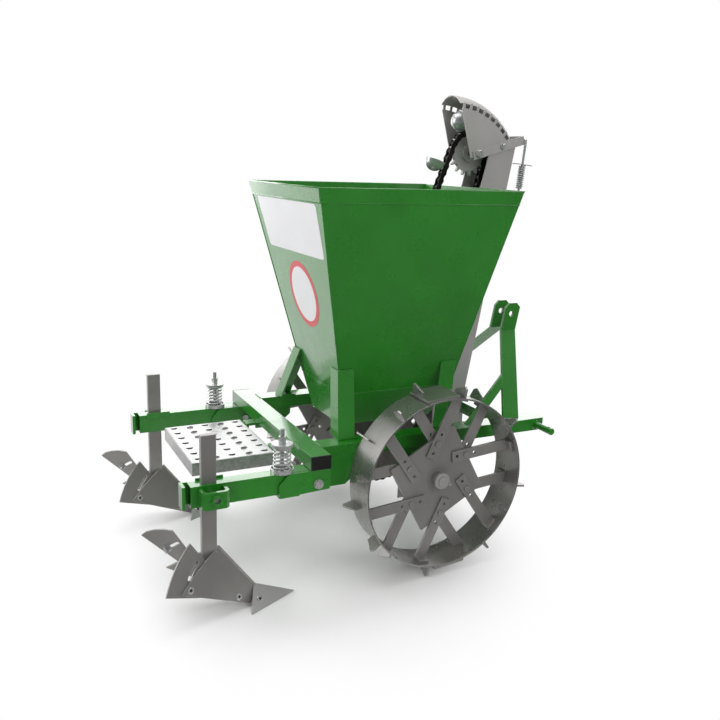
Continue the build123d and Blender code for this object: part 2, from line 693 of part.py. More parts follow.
chute = slab(chute_outline(0, 0), -CHUTE_HALF, CHUTE_HALF)
chute -= slab(chute_outline(SHEET_T, SHEET_T), -CHUTE_HALF + SHEET_T, CHUTE_HALF - SHEET_T)
add("chute", chute)


def hood_section(r_crest, r_edge, half):
    """Arch across the machine, from edge to crest."""
    return ThreePointArc((-half, r_edge), (0, r_crest), (half, r_edge))


arch_out = hood_section(HOOD_R, HOOD_EDGE_R, CHUTE_HALF)
arch_in = hood_section(HOOD_R - SHEET_T, HOOD_EDGE_R, CHUTE_HALF - SHEET_T)
edge_l = Line((-CHUTE_HALF, HOOD_EDGE_R), (-CHUTE_HALF + SHEET_T, HOOD_EDGE_R))
edge_r = Line((CHUTE_HALF, HOOD_EDGE_R), (CHUTE_HALF - SHEET_T, HOOD_EDGE_R))
hood_face = Plane.YZ * make_face(arch_out + arch_in + edge_l + edge_r)
hood = revolve(hood_face, axis=Axis.Y, revolution_arc=90 - HOOD_END_DEG)
if hood.bounding_box().center().X < 0:
    hood = Rot(Y=90 - HOOD_END_DEG) * hood
hood_place = Pos(HOOD_X, 0, HOOD_Z)
add("hood", hood_place * hood)


def head_plate():
    """Quarter-round side plate under the hood, with a row of tabs along its edge."""
    y0, y1 = CHUTE_HALF, CHUTE_HALF + SHEET_T
    r = HEAD_PLATE_R
    end = math.radians(HOOD_END_DEG)
    mid = (math.pi / 2 + end) / 2
    rear_x, low_x = [x - HOOD_X for x in HEAD_PLATE_REAR]
    top = (rear_x, math.sqrt(r ** 2 - rear_x ** 2))
    tip = (r * math.cos(end), r * math.sin(end))
    arc = ThreePointArc(top, (r * math.cos(mid), r * math.sin(mid)), tip)
    low = [(x, strap_line(x + HOOD_X) - HOOD_Z - CHUTE_TOP_DROP) for x in (tip[0], low_x)]
    line = Polyline(tip, *low, top)
    face = make_face(arc + line)
    plate = extrude(Plane.XZ.offset(-y1) * face, amount=y1 - y0)
    for i in range(TAB_COUNT):
        turn = 90 - (90 - HOOD_END_DEG) * (i + 0.5) / TAB_COUNT
        tab = block((r - SHEET_T, HOOD_EDGE_R + SHEET_T), (y0 + SEAT, y1), (-TAB_W / 2, TAB_W / 2))
        plate += Rot(Y=-turn) * tab
    plate = Pos(HOOD_X, 0, HOOD_Z) * plate
    return plate - bar_y(HEAD_X, HEAD_Z, HEAD_SHAFT_R + SEAT, 0, 2 * y1)


add_pair("head_plate", head_plate())

strap_run = Vector(STRAP_FRONT[0] - STRAP_REAR[0], 0, STRAP_FRONT[1] - STRAP_REAR[1])
strap_plane = Plane(origin=(STRAP_REAR[0], 0, STRAP_REAR[1]), x_dir=strap_run,
                    z_dir=strap_run.cross(Vector(0, 1, 0)))
strap_in = CHUTE_HALF + SHEET_T
strap_local = block((0, strap_run.length), (-strap_in - STRAP_T, strap_in + STRAP_T),
                    (-STRAP_H / 2, STRAP_H / 2))
strap_local -= block((-1, strap_run.length - STRAP_T), (-strap_in, strap_in), (-STRAP_H, STRAP_H))
strap = strap_plane * strap_local
strap -= bar_y(HEAD_X, HEAD_Z, HEAD_SHAFT_R + SEAT, -2 * strap_in, 2 * strap_in)
add("head_strap", strap)

tension_y = -strap_in - STRAP_T - TENSION_R - SEAT
hook = Vector(STRAP_FRONT[0], 0, STRAP_FRONT[1]) + strap_run.normalized() * (TENSION_R + SEAT / 3)
tension_slope = (hook.X - TENSION_FOOT[0]) / (hook.Z - TENSION_FOOT[1])


def tension_at(z):
    """Point of the tension rod at a level."""
    return (TENSION_FOOT[0] + (z - TENSION_FOOT[1]) * tension_slope, tension_y, z)


tension = rod(tension_at(TENSION_FOOT[1]), tension_at(hook.Z + TENSION_R), TENSION_R)
tension += bar_y(hook.X, hook.Z, 0.85 * TENSION_R, tension_y, -strap_in + STRAP_H)
tension += rod(tension_at(HOPPER_TOP), tension_at(TENSION_STOP_Z + SHEET_T / 2), TENSION_COIL_R)
stop_half = TENSION_COIL_R + TENSION_R / 4
stop = block((-TENSION_STOP_L / 2, TENSION_STOP_L / 2), (-stop_half, stop_half), (0, SHEET_T))
stop_dip = math.degrees(math.atan(tension_slope))
tension += Pos(*tension_at(TENSION_STOP_Z)) * Rot(Y=stop_dip) * stop
add("tension_rod", tension)

# Furrow opener under the chute
opener_side = slab([(OPENER_REAR_X, OPENER_TOP_Z), (OPENER_REAR_X, OPENER_FOOT_Z),
                    (OPENER_NOSE_X - OPENER_HALF, OPENER_FOOT_Z), (OPENER_NOSE_X - OPENER_HALF, OPENER_TOP_Z)],
                   OPENER_HALF - SHEET_T, OPENER_HALF)
nose_x = OPENER_NOSE_X - OPENER_HALF


def opener_nose(inset):
    low = [(nose_x, -OPENER_HALF + inset), (OPENER_NOSE_X - inset, 0), (nose_x, OPENER_HALF - inset)]
    face = make_face(Polyline(*[(x, y, OPENER_FOOT_Z) for x, y in low], close=True))
    return extrude(face, amount=OPENER_TOP_Z - OPENER_FOOT_Z, dir=(0, 0, 1))


nose = opener_nose(0) - opener_nose(SHEET_T)
stem = block((FRONT_CROSS_X, OPENER_NOSE_X - 1.5 * SHEET_T), (-PLATE_T / 2, PLATE_T / 2),
             (OPENER_FOOT_Z, BEAM_LOW))
add("furrow_opener", opener_side + other_side(opener_side) + nose + stem)

# Ridger arms
arm_in, arm_out = ARM_Y - ARM_W / 2, ARM_Y + ARM_W / 2
arm_low = ARM_TOP - ARM_H
shank_x = (SHANK_REAR_X, SHANK_REAR_X + SHANK_W)
shank_y = (ARM_Y - SHANK_T / 2, ARM_Y + SHANK_T / 2)


def wider(limits, by):
    return (limits[0] - by, limits[1] + by)


arm = tube((ARM_REAR_X, ARM_FRONT_X), (arm_in, arm_out), (arm_low, ARM_TOP), "x")
arm -= block(wider(shank_x, SHANK_PLAY), wider(shank_y, SHANK_PLAY), (arm_low - 1, ARM_TOP + 1))
arm -= bar_y(ARM_PIVOT_X, ARM_PIVOT_Z, PIVOT_R + SEAT, arm_in - 1, arm_out + 1)
arm -= Pos(SPRING_X, ARM_Y, 0) * Cylinder(SPRING_ROD_R + SEAT, 4 * ARM_H)
arm -= bar_y(CLAMP_SCREW_X, CLAMP_SCREW_Z, CLAMP_SCREW_R + SEAT, ARM_Y, CLAMP_OUT_Y)
add_pair("ridger_arm", arm)


def bracket_side(y0, y1):
    """Cheek plate that hangs from the cross beam's end, with its rear top corner cut."""
    cut = ARM_H / 3
    return slab([(CROSS_FRONT_X, BEAM_LOW), (CROSS_FRONT_X, arm_low), (BRACKET_REAR_X, arm_low - PLATE_T),
                 (BRACKET_REAR_X, ARM_TOP - 1.6 * cut), (BRACKET_REAR_X + cut, ARM_TOP - 0.4 * cut),
                 (BRACKET_REAR_X + 1.6 * cut, ARM_TOP - SEAT), (CROSS_REAR_X, ARM_TOP - SEAT),
                 (CROSS_REAR_X, BEAM_LOW)], y0, y1)


outer_cheek = (arm_out + BRACKET_GAP, arm_out + BRACKET_GAP + PLATE_T)
inner_cheek = (arm_in - BRACKET_GAP - PLATE_T, arm_in - BRACKET_GAP)
bracket = bracket_side(*outer_cheek) + bracket_side(*inner_cheek)
bracket += block((BRACKET_REAR_X, BRACKET_REAR_X + ARM_H), (inner_cheek[0], outer_cheek[1]),
                 (arm_low - PLATE_T - SEAT, arm_low - SEAT))
bracket -= bar_y(ARM_PIVOT_X, ARM_PIVOT_Z, PIVOT_R + SEAT, inner_cheek[0] - 1, outer_cheek[1] + 1)
bracket -= Pos(SPRING_X, ARM_Y, arm_low) * Cylinder(SPRING_ROD_R + SEAT, 4 * PLATE_T)
add_pair("arm_bracket", bracket)

pivot = bar_y(ARM_PIVOT_X, ARM_PIVOT_Z, PIVOT_R, inner_cheek[0] - PLATE_T, outer_cheek[1])
head_start = (ARM_PIVOT_X, outer_cheek[1], ARM_PIVOT_Z)
head_end = (ARM_PIVOT_X, outer_cheek[1] + PLATE_T, ARM_PIVOT_Z)
pivot += hexagon(head_start, head_end, 2.4 * PIVOT_R)
add_both("pivot_bolts", pivot)

# Springs that press the arms down, each on a threaded rod between two cups
cup_floor = ARM_TOP + SHEET_T
spring_top = cup_floor + SPRING_TURNS * SPRING_PITCH + 2 * SPRING_WIRE + 4 * SEAT


def make_spring():
    """Coil of half turns: one flat, the next tilted up by a pitch."""
    rise = math.atan2(SPRING_PITCH, 2 * SPRING_R)
    slant_r = math.hypot(SPRING_R, SPRING_PITCH / 2)
    turns = []
    for i in range(SPRING_TURNS):
        z = cup_floor + SPRING_WIRE + i * SPRING_PITCH
        flat = Plane(origin=(SPRING_X, ARM_Y, z), x_dir=(1, 0, 0), z_dir=(0, 0, 1))
        slant = Plane(origin=(SPRING_X, ARM_Y, z + SPRING_PITCH / 2),
                      x_dir=(-math.cos(rise), 0, -math.sin(rise)),
                      z_dir=(-math.sin(rise), 0, math.cos(rise)))
        turns.append(flat * CenterArc((0, 0), SPRING_R, 0, 180))
        turns.append(slant * CenterArc((0, 0), slant_r, 0, 180))
    path = Wire(turns)
    section = Plane(origin=path @ 0, z_dir=path % 0) * RegularPolygon(SPRING_WIRE, 6)
    return sweep(section, path=path)


def upright(r, z0, z1):
    """Round piece on the spring's axis."""
    return Pos(SPRING_X, ARM_Y, (z0 + z1) / 2) * Cylinder(r, z1 - z0)


def spring_nut(z):
    return hexagon((SPRING_X, ARM_Y, z), (SPRING_X, ARM_Y, z + NUT_H), NUT_ACROSS)


lower_cup = upright(SPRING_CUP_R, ARM_TOP, ARM_TOP + SPRING_CUP_H)
lower_cup -= upright(SPRING_CUP_R - SHEET_T, cup_floor, ARM_TOP + 2 * SPRING_CUP_H)
lower_cup -= upright(SPRING_ROD_R + SEAT, 0, 2 * ARM_TOP)
upper_cup = upright(SPRING_CAP_R, spring_top - SPRING_CUP_H / 2, spring_top + SHEET_T)
upper_cup -= upright(SPRING_CAP_R - SHEET_T + SEAT, 0, spring_top)
rod_low = arm_low - PLATE_T - NUT_H - 2 * SEAT
rod_top = spring_top + SHEET_T + SPRING_ROD_UP
spring_rod = upright(SPRING_ROD_R, rod_low, rod_top) + upper_cup
for z in (rod_low, spring_top + SHEET_T, spring_top + SHEET_T + NUT_H):
    spring_rod += spring_nut(z)
add_both("springs", make_spring())
add_both("spring_seats", lower_cup)
add_both("spring_rods", spring_rod)

# Clamps that hold the shanks in the arms
clamp_z = (ARM_TOP - (ARM_H + CLAMP_H) / 2, ARM_TOP - (ARM_H - CLAMP_H) / 2)


def clamp_block(inset, corner, y0):
    """Upright block with its two outer edges cut."""
    x0, x1, y1 = CLAMP_REAR_X + inset, CLAMP_FRONT_X - inset, CLAMP_OUT_Y - inset
    outline = [(x0, y0), (x0, y1 - corner), (x0 + corner, y1), (x1 - corner, y1), (x1, y1 - corner), (x1, y0)]
    face = make_face(Polyline(*[(x, y, clamp_z[0]) for x, y in outline], close=True))
    return extrude(face, amount=CLAMP_H, dir=(0, 0, 1))


clamp = clamp_block(0, CLAMP_CORNER, arm_out) - clamp_block(CLAMP_T, CLAMP_CORNER / 2, arm_out - 1)
clamp += bar_y(CLAMP_SCREW_X, CLAMP_SCREW_Z, CLAMP_BOSS_R, CLAMP_OUT_Y - CLAMP_T, CLAMP_OUT_Y + CLAMP_BOSS_L)
clamp -= bar_y(CLAMP_SCREW_X, CLAMP_SCREW_Z, CLAMP_SCREW_R + SEAT, arm_out, 2 * CLAMP_OUT_Y)
add_pair("shank_clamp", clamp)
screw_y = (shank_y[1] + SHANK_PLAY, CLAMP_OUT_Y - SHEET_T)
add_both("clamp_screws", bar_y(CLAMP_SCREW_X, CLAMP_SCREW_Z, CLAMP_SCREW_R, *screw_y))

# Foot plate for the person who watches the seed, on two angle brackets
step = block((STEP_REAR_X, STEP_FRONT_X), (-STEP_HALF, STEP_HALF), (STEP_TOP - STEP_EDGE, STEP_TOP))
step -= block((STEP_REAR_X + SHEET_T, STEP_FRONT_X - SHEET_T), (-STEP_HALF + SHEET_T, STEP_HALF - SHEET_T),
              (STEP_TOP - STEP_EDGE - 1, STEP_TOP - SHEET_T))
step_rows = [STEP_REAR_X + (STEP_FRONT_X - STEP_REAR_X) * (i + 0.5) / STEP_HOLE_GRID[0]
             for i in range(STEP_HOLE_GRID[0])]
step_columns = [STEP_HALF * (2 * (j + 0.5) / STEP_HOLE_GRID[1] - 1) for j in range(STEP_HOLE_GRID[1])]
half_moon = [(STEP_HOLE_R * math.sin(math.radians(t)), STEP_HOLE_R * math.cos(math.radians(t)))
             for t in (0, 36, 72, 108, 144, 180)]
for x in step_rows:
    for y in step_columns:
        hole = make_face(Polyline(*[(x + dx, y + dy, STEP_TOP - 2 * SHEET_T) for dx, dy in half_moon], close=True))
        step -= extrude(hole, amount=3 * SHEET_T, dir=(0, 0, 1))
add("foot_plate", step)
bracket_y = (STEP_BRACKET_Y - STEP_BRACKET_W / 2, STEP_BRACKET_Y + STEP_BRACKET_W / 2)
step_bracket = block((STEP_FRONT_X, CROSS_FRONT_X - PLATE_T), bracket_y, (BEAM_LOW - PLATE_T, BEAM_LOW))
step_bracket += block((STEP_FRONT_X, STEP_FRONT_X + PLATE_T), bracket_y, (STEP_TOP - STEP_EDGE, BEAM_LOW))
add_both("step_brackets", step_bracket)

# Ridgers: two flared plates that meet in a ridge, a point ahead and two wings behind
shank = block(shank_x, shank_y, (SHANK_FOOT, SHANK_TOP))
add_pair("ridger_shank", shank)


def flare(ridge_a, ridge_b, corner, spread):
    """How far a plate stands off the ridger's middle, for a ridge line and one outer corner."""
    run = (ridge_b[0] - ridge_a[0], ridge_b[1] - ridge_a[1])
    normal = (-run[1], run[0])

    def across(point):
        return (point[0] - ridge_a[0]) * normal[0] + (point[1] - ridge_a[1]) * normal[1]
    return lambda point: spread * across(point) / across(corner)


def flared_plate(outline, offset_of, thickness, inset=0.0):
    """Flat plate over an outline in X and Z, leaning out from the ridger's middle."""
    points = [Vector(x, offset_of((x, z)), z) for x, z in outline]
    normal = (points[1] - points[0]).cross(points[-1] - points[0]).normalized()
    inward = normal if normal.Y < 0 else normal * -1
    face = make_face(Polyline(*[p + inward * inset for p in points], close=True))
    return extrude(face, amount=thickness, dir=inward)


def both_faces(plate):
    """A plate and its mirror image about the ridger's middle, moved to the left ridger."""
    return [Pos(0, ARM_Y, 0) * plate, Pos(0, ARM_Y, 0) * other_side(plate)]


body_flare = flare(BODY_TOP, BODY_NOSE, BODY_REAR_FOOT, BODY_SPREAD)
body_plate = flared_plate([BODY_TOP, BODY_BACK, BODY_REAR_FOOT, BODY_NOSE_FOOT, BODY_NOSE], body_flare, BODY_T)
body_left, body_right = both_faces(body_plate)
add_pair("ridger_body", body_left + body_right - block(shank_x, shank_y, (SHANK_FOOT, SHANK_TOP)))

point_flare = flare(POINT_TIP, POINT_TOP, POINT_FOOT, POINT_SPREAD)
point_plate = flared_plate([POINT_TIP, POINT_TOP, POINT_FOOT], point_flare, BODY_T)
point_left, point_right = both_faces(point_plate)
above_ground = slab([POINT_TIP, POINT_FOOT, (POINT_FOOT[0] - POINT_SPREAD, POINT_FOOT[1]),
                     (POINT_FOOT[0] - POINT_SPREAD, 0), (POINT_TIP[0], 0)], 0, 2 * ARM_Y)
add_pair("ridger_point", (point_left + point_right - body_left - body_right) & above_ground)


def wing_outline():
    """Fan about its pivot bolt, seen from the side."""
    base = math.atan2(BODY_REAR_FOOT[1] - WING_PIVOT[1], BODY_REAR_FOOT[0] - WING_PIVOT[0])
    span_deg = WING_DEG[1] - WING_DEG[0]
    turns = [base - math.radians(WING_DEG[0] + span_deg * i / WING_ARC_STEPS) for i in range(WING_ARC_STEPS + 1)]
    rim = [(WING_PIVOT[0] + WING_R * math.cos(t), WING_PIVOT[1] + WING_R * math.sin(t)) for t in turns]
    root = [(WING_PIVOT[0] + WING_ROOT_R * math.cos(t), WING_PIVOT[1] + WING_ROOT_R * math.sin(t))
            for t in (turns[-1], turns[0])]
    return rim + root


def high_wing_outline():
    """The like fan turned up to its upper setting."""
    pivot_x, pivot_z = HIGH_WING_PIVOT
    root = []
    for x, z in (HIGH_WING[-1], HIGH_WING[0]):
        reach = math.hypot(x - pivot_x, z - pivot_z) / WING_ROOT_R
        root.append((pivot_x + (x - pivot_x) / reach, pivot_z + (z - pivot_z) / reach))
    return list(HIGH_WING) + root


low_wing = other_side(flared_plate(wing_outline(), body_flare, WING_T, BODY_T + SEAT))
high_wing = flared_plate(high_wing_outline(), body_flare, WING_T, BODY_T + SEAT)
add("ridger_wings_left", Pos(0, ARM_Y, 0) * high_wing, Pos(0, ARM_Y, 0) * low_wing)
add("ridger_wings_right", Pos(0, -ARM_Y, 0) * high_wing, Pos(0, -ARM_Y, 0) * low_wing)

# Parked pose: nose down until the points touch the ground that the wheels stand on
def park(shape):
    return Pos(0, 0, WHEEL_DROP) * Rot(Y=PARK_DEG) * shape


parked = {name: [park(s) for s in solids] for name, solids in nodes.items()}
boxes = [s.bounding_box() for solids in parked.values() for s in solids]
rear_x = min(b.min.X for b in boxes)
front_x = max(b.max.X for b in boxes)
ground_z = min(b.min.Z for b in boxes)
to_centre = Pos(-(rear_x + front_x) / 2, 0, -ground_z)

os.makedirs("parts", exist_ok=True)
for name, solids in parked.items():
    placed = [to_centre * s for s in solids]
    export_step(placed[0] if len(placed) == 1 else Compound(children=placed), f"parts/{name}.step")

# Places that the joints and the hitch refer to, in the parked frame
PLACES = {"axle": (0, 0, 0), "link_pin": (LINK_PIN_X, BEAM_OUT_Y, link_pin_z),
          "top_link": (MAST_HOLE_X, 0, MAST_HOLE_Z), "shank": (SHANK_REAR_X, ARM_Y, ARM_TOP)}
print("park_deg", round(PARK_DEG, 4), "length", round(front_x - rear_x, 1), "ground", round(ground_z, 3))
for name, place in PLACES.items():
    there = (to_centre * park(Pos(*place))).position
    print("place", name, [round(v, 3) for v in there])
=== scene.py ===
import bpy
import bmesh
import json
import math
from mathutils import Matrix, Vector


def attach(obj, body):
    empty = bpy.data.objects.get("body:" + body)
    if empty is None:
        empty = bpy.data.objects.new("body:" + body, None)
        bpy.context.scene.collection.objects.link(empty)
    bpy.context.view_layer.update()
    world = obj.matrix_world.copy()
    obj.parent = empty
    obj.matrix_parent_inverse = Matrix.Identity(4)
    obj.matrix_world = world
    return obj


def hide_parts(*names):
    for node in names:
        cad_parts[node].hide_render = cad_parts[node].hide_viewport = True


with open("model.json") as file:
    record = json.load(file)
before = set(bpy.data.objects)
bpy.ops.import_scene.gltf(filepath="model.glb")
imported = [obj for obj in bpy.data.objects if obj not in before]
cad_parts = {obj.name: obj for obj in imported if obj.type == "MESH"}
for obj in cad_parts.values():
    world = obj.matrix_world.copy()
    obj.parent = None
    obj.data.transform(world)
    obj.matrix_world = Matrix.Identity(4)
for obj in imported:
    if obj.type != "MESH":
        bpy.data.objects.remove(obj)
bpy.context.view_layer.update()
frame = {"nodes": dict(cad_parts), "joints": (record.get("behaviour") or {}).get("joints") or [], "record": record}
nodes = frame["nodes"]
joints = {j["name"]: j for j in frame["joints"]}
scene = bpy.context.scene

# The machine is described level, in millimetres from the axle's centre, and stands nose down on its points.
AXLE = Vector(joints["wheels_turn"]["pos_m"])
UP = Vector(joints["ridger_left_height"]["axis"]).normalized()
FORE = Vector((UP.z, 0, -UP.x))
SIDE = Vector((0, 1, 0))
TURN = Matrix((FORE, SIDE, UP)).transposed()
HANDS = (1, -1)


def P(x, y, z):
    """Level millimetres to the part's frame in metres."""
    return AXLE + TURN @ (Vector((x, y, z)) / 1000)


def D(x, y, z):
    """Level direction to the part's frame."""
    return (TURN @ Vector((x, y, z))).normalized()


# Camera, from the fit to the photograph
SENSOR, FOCAL_PX, PHOTO_PX = 36.0, 804.9, 720
CAM_PLACE = (-1246, -2296, 917)
CAM_LOOK = (0.4379, 0.8668, -0.2385)
CAM_RIGHT = (0.8958, -0.4432, 0.0339)
cam_data = bpy.data.cameras.new("camera")
cam_data.sensor_width = SENSOR
cam_data.lens = SENSOR * FOCAL_PX / PHOTO_PX
cam = bpy.data.objects.new("camera", cam_data)
scene.collection.objects.link(cam)
look = D(*CAM_LOOK)
cam_right = D(*CAM_RIGHT)
cam_right = (cam_right - look * cam_right.dot(look)).normalized()
cam_up = cam_right.cross(look)
cam_turn = Matrix((cam_right, cam_up, -look)).transposed().to_4x4()
cam.matrix_world = Matrix.Translation(P(*CAM_PLACE)) @ cam_turn
scene.camera = cam
scene.view_settings.view_transform = "Standard"


# Shader nodes

def add(tree, kind, values=None, links=None):
    """Node with sockets set to values or linked to the outputs of other nodes."""
    node = tree.nodes.new(kind)
    for socket, value in (values or {}).items():
        node.inputs[socket].default_value = value
    for socket, source in (links or {}).items():
        tree.links.new(source, node.inputs[socket])
    return node


def material(name):
    mat = bpy.data.materials.new(name)
    mat.use_nodes = True
    tree = mat.node_tree
    shader = tree.nodes["Principled BSDF"]
    return mat, tree, shader, add(tree, "ShaderNodeTexCoord").outputs["Object"]


def noise(tree, coords, scale, detail=3.0, rough=0.55):
    values = {"Scale": scale, "Detail": detail, "Roughness": rough}
    return add(tree, "ShaderNodeTexNoise", values, {"Vector": coords}).outputs["Fac"]


def ramp(tree, fac, low, dark, high, light):
    """Colour from dark at one level to light at another."""
    node = add(tree, "ShaderNodeValToRGB", links={"Fac": fac})
    for stop, place, colour in zip(node.color_ramp.elements, (low, high), (dark, light)):
        stop.position = place
        stop.color = (*colour, 1)
    return node.outputs["Color"]


def spread(tree, fac, low, high, start=0.3, end=0.7, smooth=False):
    """One range of values turned into another."""
    values = {"From Min": start, "From Max": end, "To Min": low, "To Max": high}
    node = add(tree, "ShaderNodeMapRange", values, {"Value": fac})
    if smooth:
        node.interpolation_type = "SMOOTHSTEP"
    return node.outputs["Result"]


def combine(tree, operation, a, b):
    node = add(tree, "ShaderNodeMath", links={0: a, 1: b})
    node.operation = operation
    return node.outputs["Value"]


def toward(tree, vector, way):
    """How far a vector runs along a fixed way."""
    node = add(tree, "ShaderNodeVectorMath", {1: way}, {0: vector})
    node.operation = "DOT_PRODUCT"
    return node.outputs["Value"]


def soft_normal(tree, radius):
    """Normal with sharp edges shaded as if rounded."""
    node = add(tree, "ShaderNodeBevel", {"Radius": radius})
    node.samples = 6
    return node.outputs["Normal"]


def bump(tree, shader, height, strength, distance, normal=None):
    """Relief on a surface, on top of another normal where one is given."""
    links = {"Height": height}
    if normal:
        links["Normal"] = normal
    node = add(tree, "ShaderNodeBump", {"Strength": strength, "Distance": distance}, links)
    tree.links.new(node.outputs["Normal"], shader.inputs["Normal"])


def lit_and_worn_edges(tree, coords, colour, bare_and_highlight):
    """Colour turned lighter along sharp edges, more in some places than in others: partly rubbed wear, partly painted
    highlight.
    """
    flat = add(tree, "ShaderNodeNewGeometry").outputs["Normal"]
    same = add(tree, "ShaderNodeVectorMath", links={0: soft_normal(tree, 0.0022), 1: flat})
    same.operation = "DOT_PRODUCT"
    # Edges made lighter: partly rubbed wear, partly painted highlight.
    edge = spread(tree, same.outputs["Value"], 0.0, 1.0, 0.995, 0.93)
    rubbed_and_highlit = combine(tree, "MULTIPLY", edge, spread(tree, noise(tree, coords, 35.0), 0.25, 0.95))
    mix = add(tree, "ShaderNodeMix")
    mix.data_type = "RGBA"
    tree.links.new(rubbed_and_highlit, mix.inputs["Factor"])
    tree.links.new(colour, mix.inputs[6])
    mix.inputs[7].default_value = (*bare_and_highlight, 1)
    return mix.outputs[2]


# Materials

def paint(name, dark, light, rough, coat, metallic, bare_and_highlight=None):
    """Sprayed coat: faint cloudiness, orange peel, uneven gloss and, where asked, edges made lighter by wear and
    painted highlight.
    """
    mat, tree, shader, coords = material(name)
    colour = ramp(tree, noise(tree, coords, 5.0), 0.32, dark, 0.68, light)
    if bare_and_highlight:
        colour = lit_and_worn_edges(tree, coords, colour, bare_and_highlight)
    tree.links.new(colour, shader.inputs["Base Color"])
    gloss = spread(tree, noise(tree, coords, 14.0), rough - 0.06, rough + 0.06)
    tree.links.new(gloss, shader.inputs["Roughness"])
    shader.inputs["Metallic"].default_value = metallic
    shader.inputs["Coat Weight"].default_value = coat
    shader.inputs["Coat Roughness"].default_value = 0.12
    bump(tree, shader, noise(tree, coords, 420.0, 2.0), 0.12, 0.0006, soft_normal(tree, 0.002))
    return mat


def steel(name, dark, light, rough, scale, metallic=1.0):
    """Bare or plated metal with fine scratches and cloudy gloss."""
    mat, tree, shader, coords = material(name)
    colour = ramp(tree, noise(tree, coords, scale, 6.0, 0.7), 0.35, dark, 0.65, light)
    tree.links.new(colour, shader.inputs["Base Color"])
    gloss = spread(tree, noise(tree, coords, 3 * scale), rough - 0.08, rough + 0.1)
    tree.links.new(gloss, shader.inputs["Roughness"])
    shader.inputs["Metallic"].default_value = metallic
    bump(tree, shader, noise(tree, coords, 900.0, 4.0, 0.7), 0.15, 0.0004)
    return mat


def galvanised(name):
    """Hot-dipped zinc with its crystal flowers."""
    mat, tree, shader, coords = material(name)
    cells = add(tree, "ShaderNodeTexVoronoi", {"Scale": 130.0}, {"Vector": coords})
    grey = add(tree, "ShaderNodeRGBToBW", links={"Color": cells.outputs["Color"]}).outputs["Val"]
    colour = ramp(tree, grey, 0.15, (0.42, 0.425, 0.42), 0.85, (0.56, 0.565, 0.56))
    tree.links.new(colour, shader.inputs["Base Color"])
    tree.links.new(spread(tree, grey, 0.3, 0.44), shader.inputs["Roughness"])
    shader.inputs["Metallic"].default_value = 0.85
    bump(tree, shader, noise(tree, coords, 60.0), 0.08, 0.001)
    return mat


def smooth_skin(name, colour, shade, cloud, rough, relief, strength, distance):
    """Plastic or printed foil: one colour, a little darker in clouds, over a faint relief."""
    mat, tree, shader, coords = material(name)
    darker = tuple(shade * c for c in colour)
    tree.links.new(ramp(tree, noise(tree, coords, cloud), 0.3, darker, 0.7, colour), shader.inputs["Base Color"])
    shader.inputs["Roughness"].default_value = rough
    bump(tree, shader, noise(tree, coords, relief), strength, distance)
    return mat


def foil(name, colour):
    return smooth_skin(name, colour, 0.94, 8.0, 0.35, 25.0, 0.04, 0.001)


# The lighter edge colours given here are partly rubbed paint, partly painted highlight.
GREEN = paint("green_gloss", (0.013, 0.176, 0.009), (0.018, 0.212, 0.013), 0.30, 1.0, 0.0,
              bare_and_highlight=(0.075, 0.33, 0.065))
GREY = paint("grey_coat", (0.270, 0.260, 0.249), (0.345, 0.333, 0.320), 0.34, 0.0, 0.5,
             bare_and_highlight=(0.62, 0.61, 0.59))
RIM = paint("rim_coat", (0.295, 0.288, 0.278), (0.405, 0.396, 0.382), 0.29, 0.0, 0.78,
            bare_and_highlight=(0.66, 0.65, 0.63))
BRIGHT = paint("ground_steel", (0.450, 0.446, 0.436), (0.560, 0.555, 0.543), 0.36, 0.0, 0.5)
SILVER = paint("silver_coat", (0.410, 0.399, 0.390), (0.470, 0.458, 0.448), 0.40, 0.0, 0.3)
ZINC = steel("zinc_plate", (0.46, 0.475, 0.475), (0.64, 0.65, 0.645), 0.27, 30.0, 0.6)
THREAD = steel("threaded_zinc", (0.20, 0.205, 0.205), (0.33, 0.335, 0.33), 0.34, 60.0, 0.7)
GALV = galvanised("galvanised_sheet")
DARK = steel("oiled_chain", (0.010, 0.009, 0.008), (0.035, 0.030, 0.027), 0.36, 60.0, 0.6)
BLACK = smooth_skin("black_cap_and_painted_shade", (0.012, 0.012, 0.012), 0.6, 40.0, 0.5, 700.0, 0.2, 0.0005)
WHITE = foil("white_foil", (0.73, 0.73, 0.745))
RED = foil("red_foil", (0.62, 0.05, 0.06))
STOCK = steel("dull_steel", (0.20, 0.19, 0.18), (0.30, 0.29, 0.27), 0.42, 25.0)

BY_SLOT = {"green_paint": GREEN, "grey_steel": GREY, "grey_paint": SILVER, "dark_steel": STOCK, "zinc": ZINC,
           "galvanised": GALV, "black_plastic": BLACK}
BY_NODE = {"elevator_chain": DARK, "head_sprocket": BRIGHT, "ridger_point_left": BRIGHT,
           "ridger_point_right": BRIGHT, "wheel_rim_left": RIM, "wheel_rim_right": RIM}
for part in frame["record"]["subparts"]:
    mesh = nodes[part["node"]].data
    mesh.materials.clear()
    mesh.materials.append(BY_NODE.get(part["node"], BY_SLOT[part["material_slot"]]))


# Shapes

def keep(name, bm, mats, body, slot, *replaced, smooth=False):
    """Turn a bmesh in metres into a piece that rides on a body."""
    bmesh.ops.recalc_face_normals(bm, faces=bm.faces)
    mesh = bpy.data.meshes.new(name)
    for face in bm.faces:
        face.smooth = smooth
    bm.to_mesh(mesh)
    bm.free()
    for mat in mats:
        mesh.materials.append(mat)
    piece = bpy.data.objects.new(name, mesh)
    scene.collection.objects.link(piece)
    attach(piece, body)
    if replaced:
        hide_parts(*replaced)


def basis(normal):
    """Two directions square to a normal."""
    hint = Vector((0, 0, 1))
    if abs(normal.dot(hint)) > 0.95:
        hint = Vector((1, 0, 0))
    a = hint.cross(normal).normalized()
    return a, normal.cross(a)


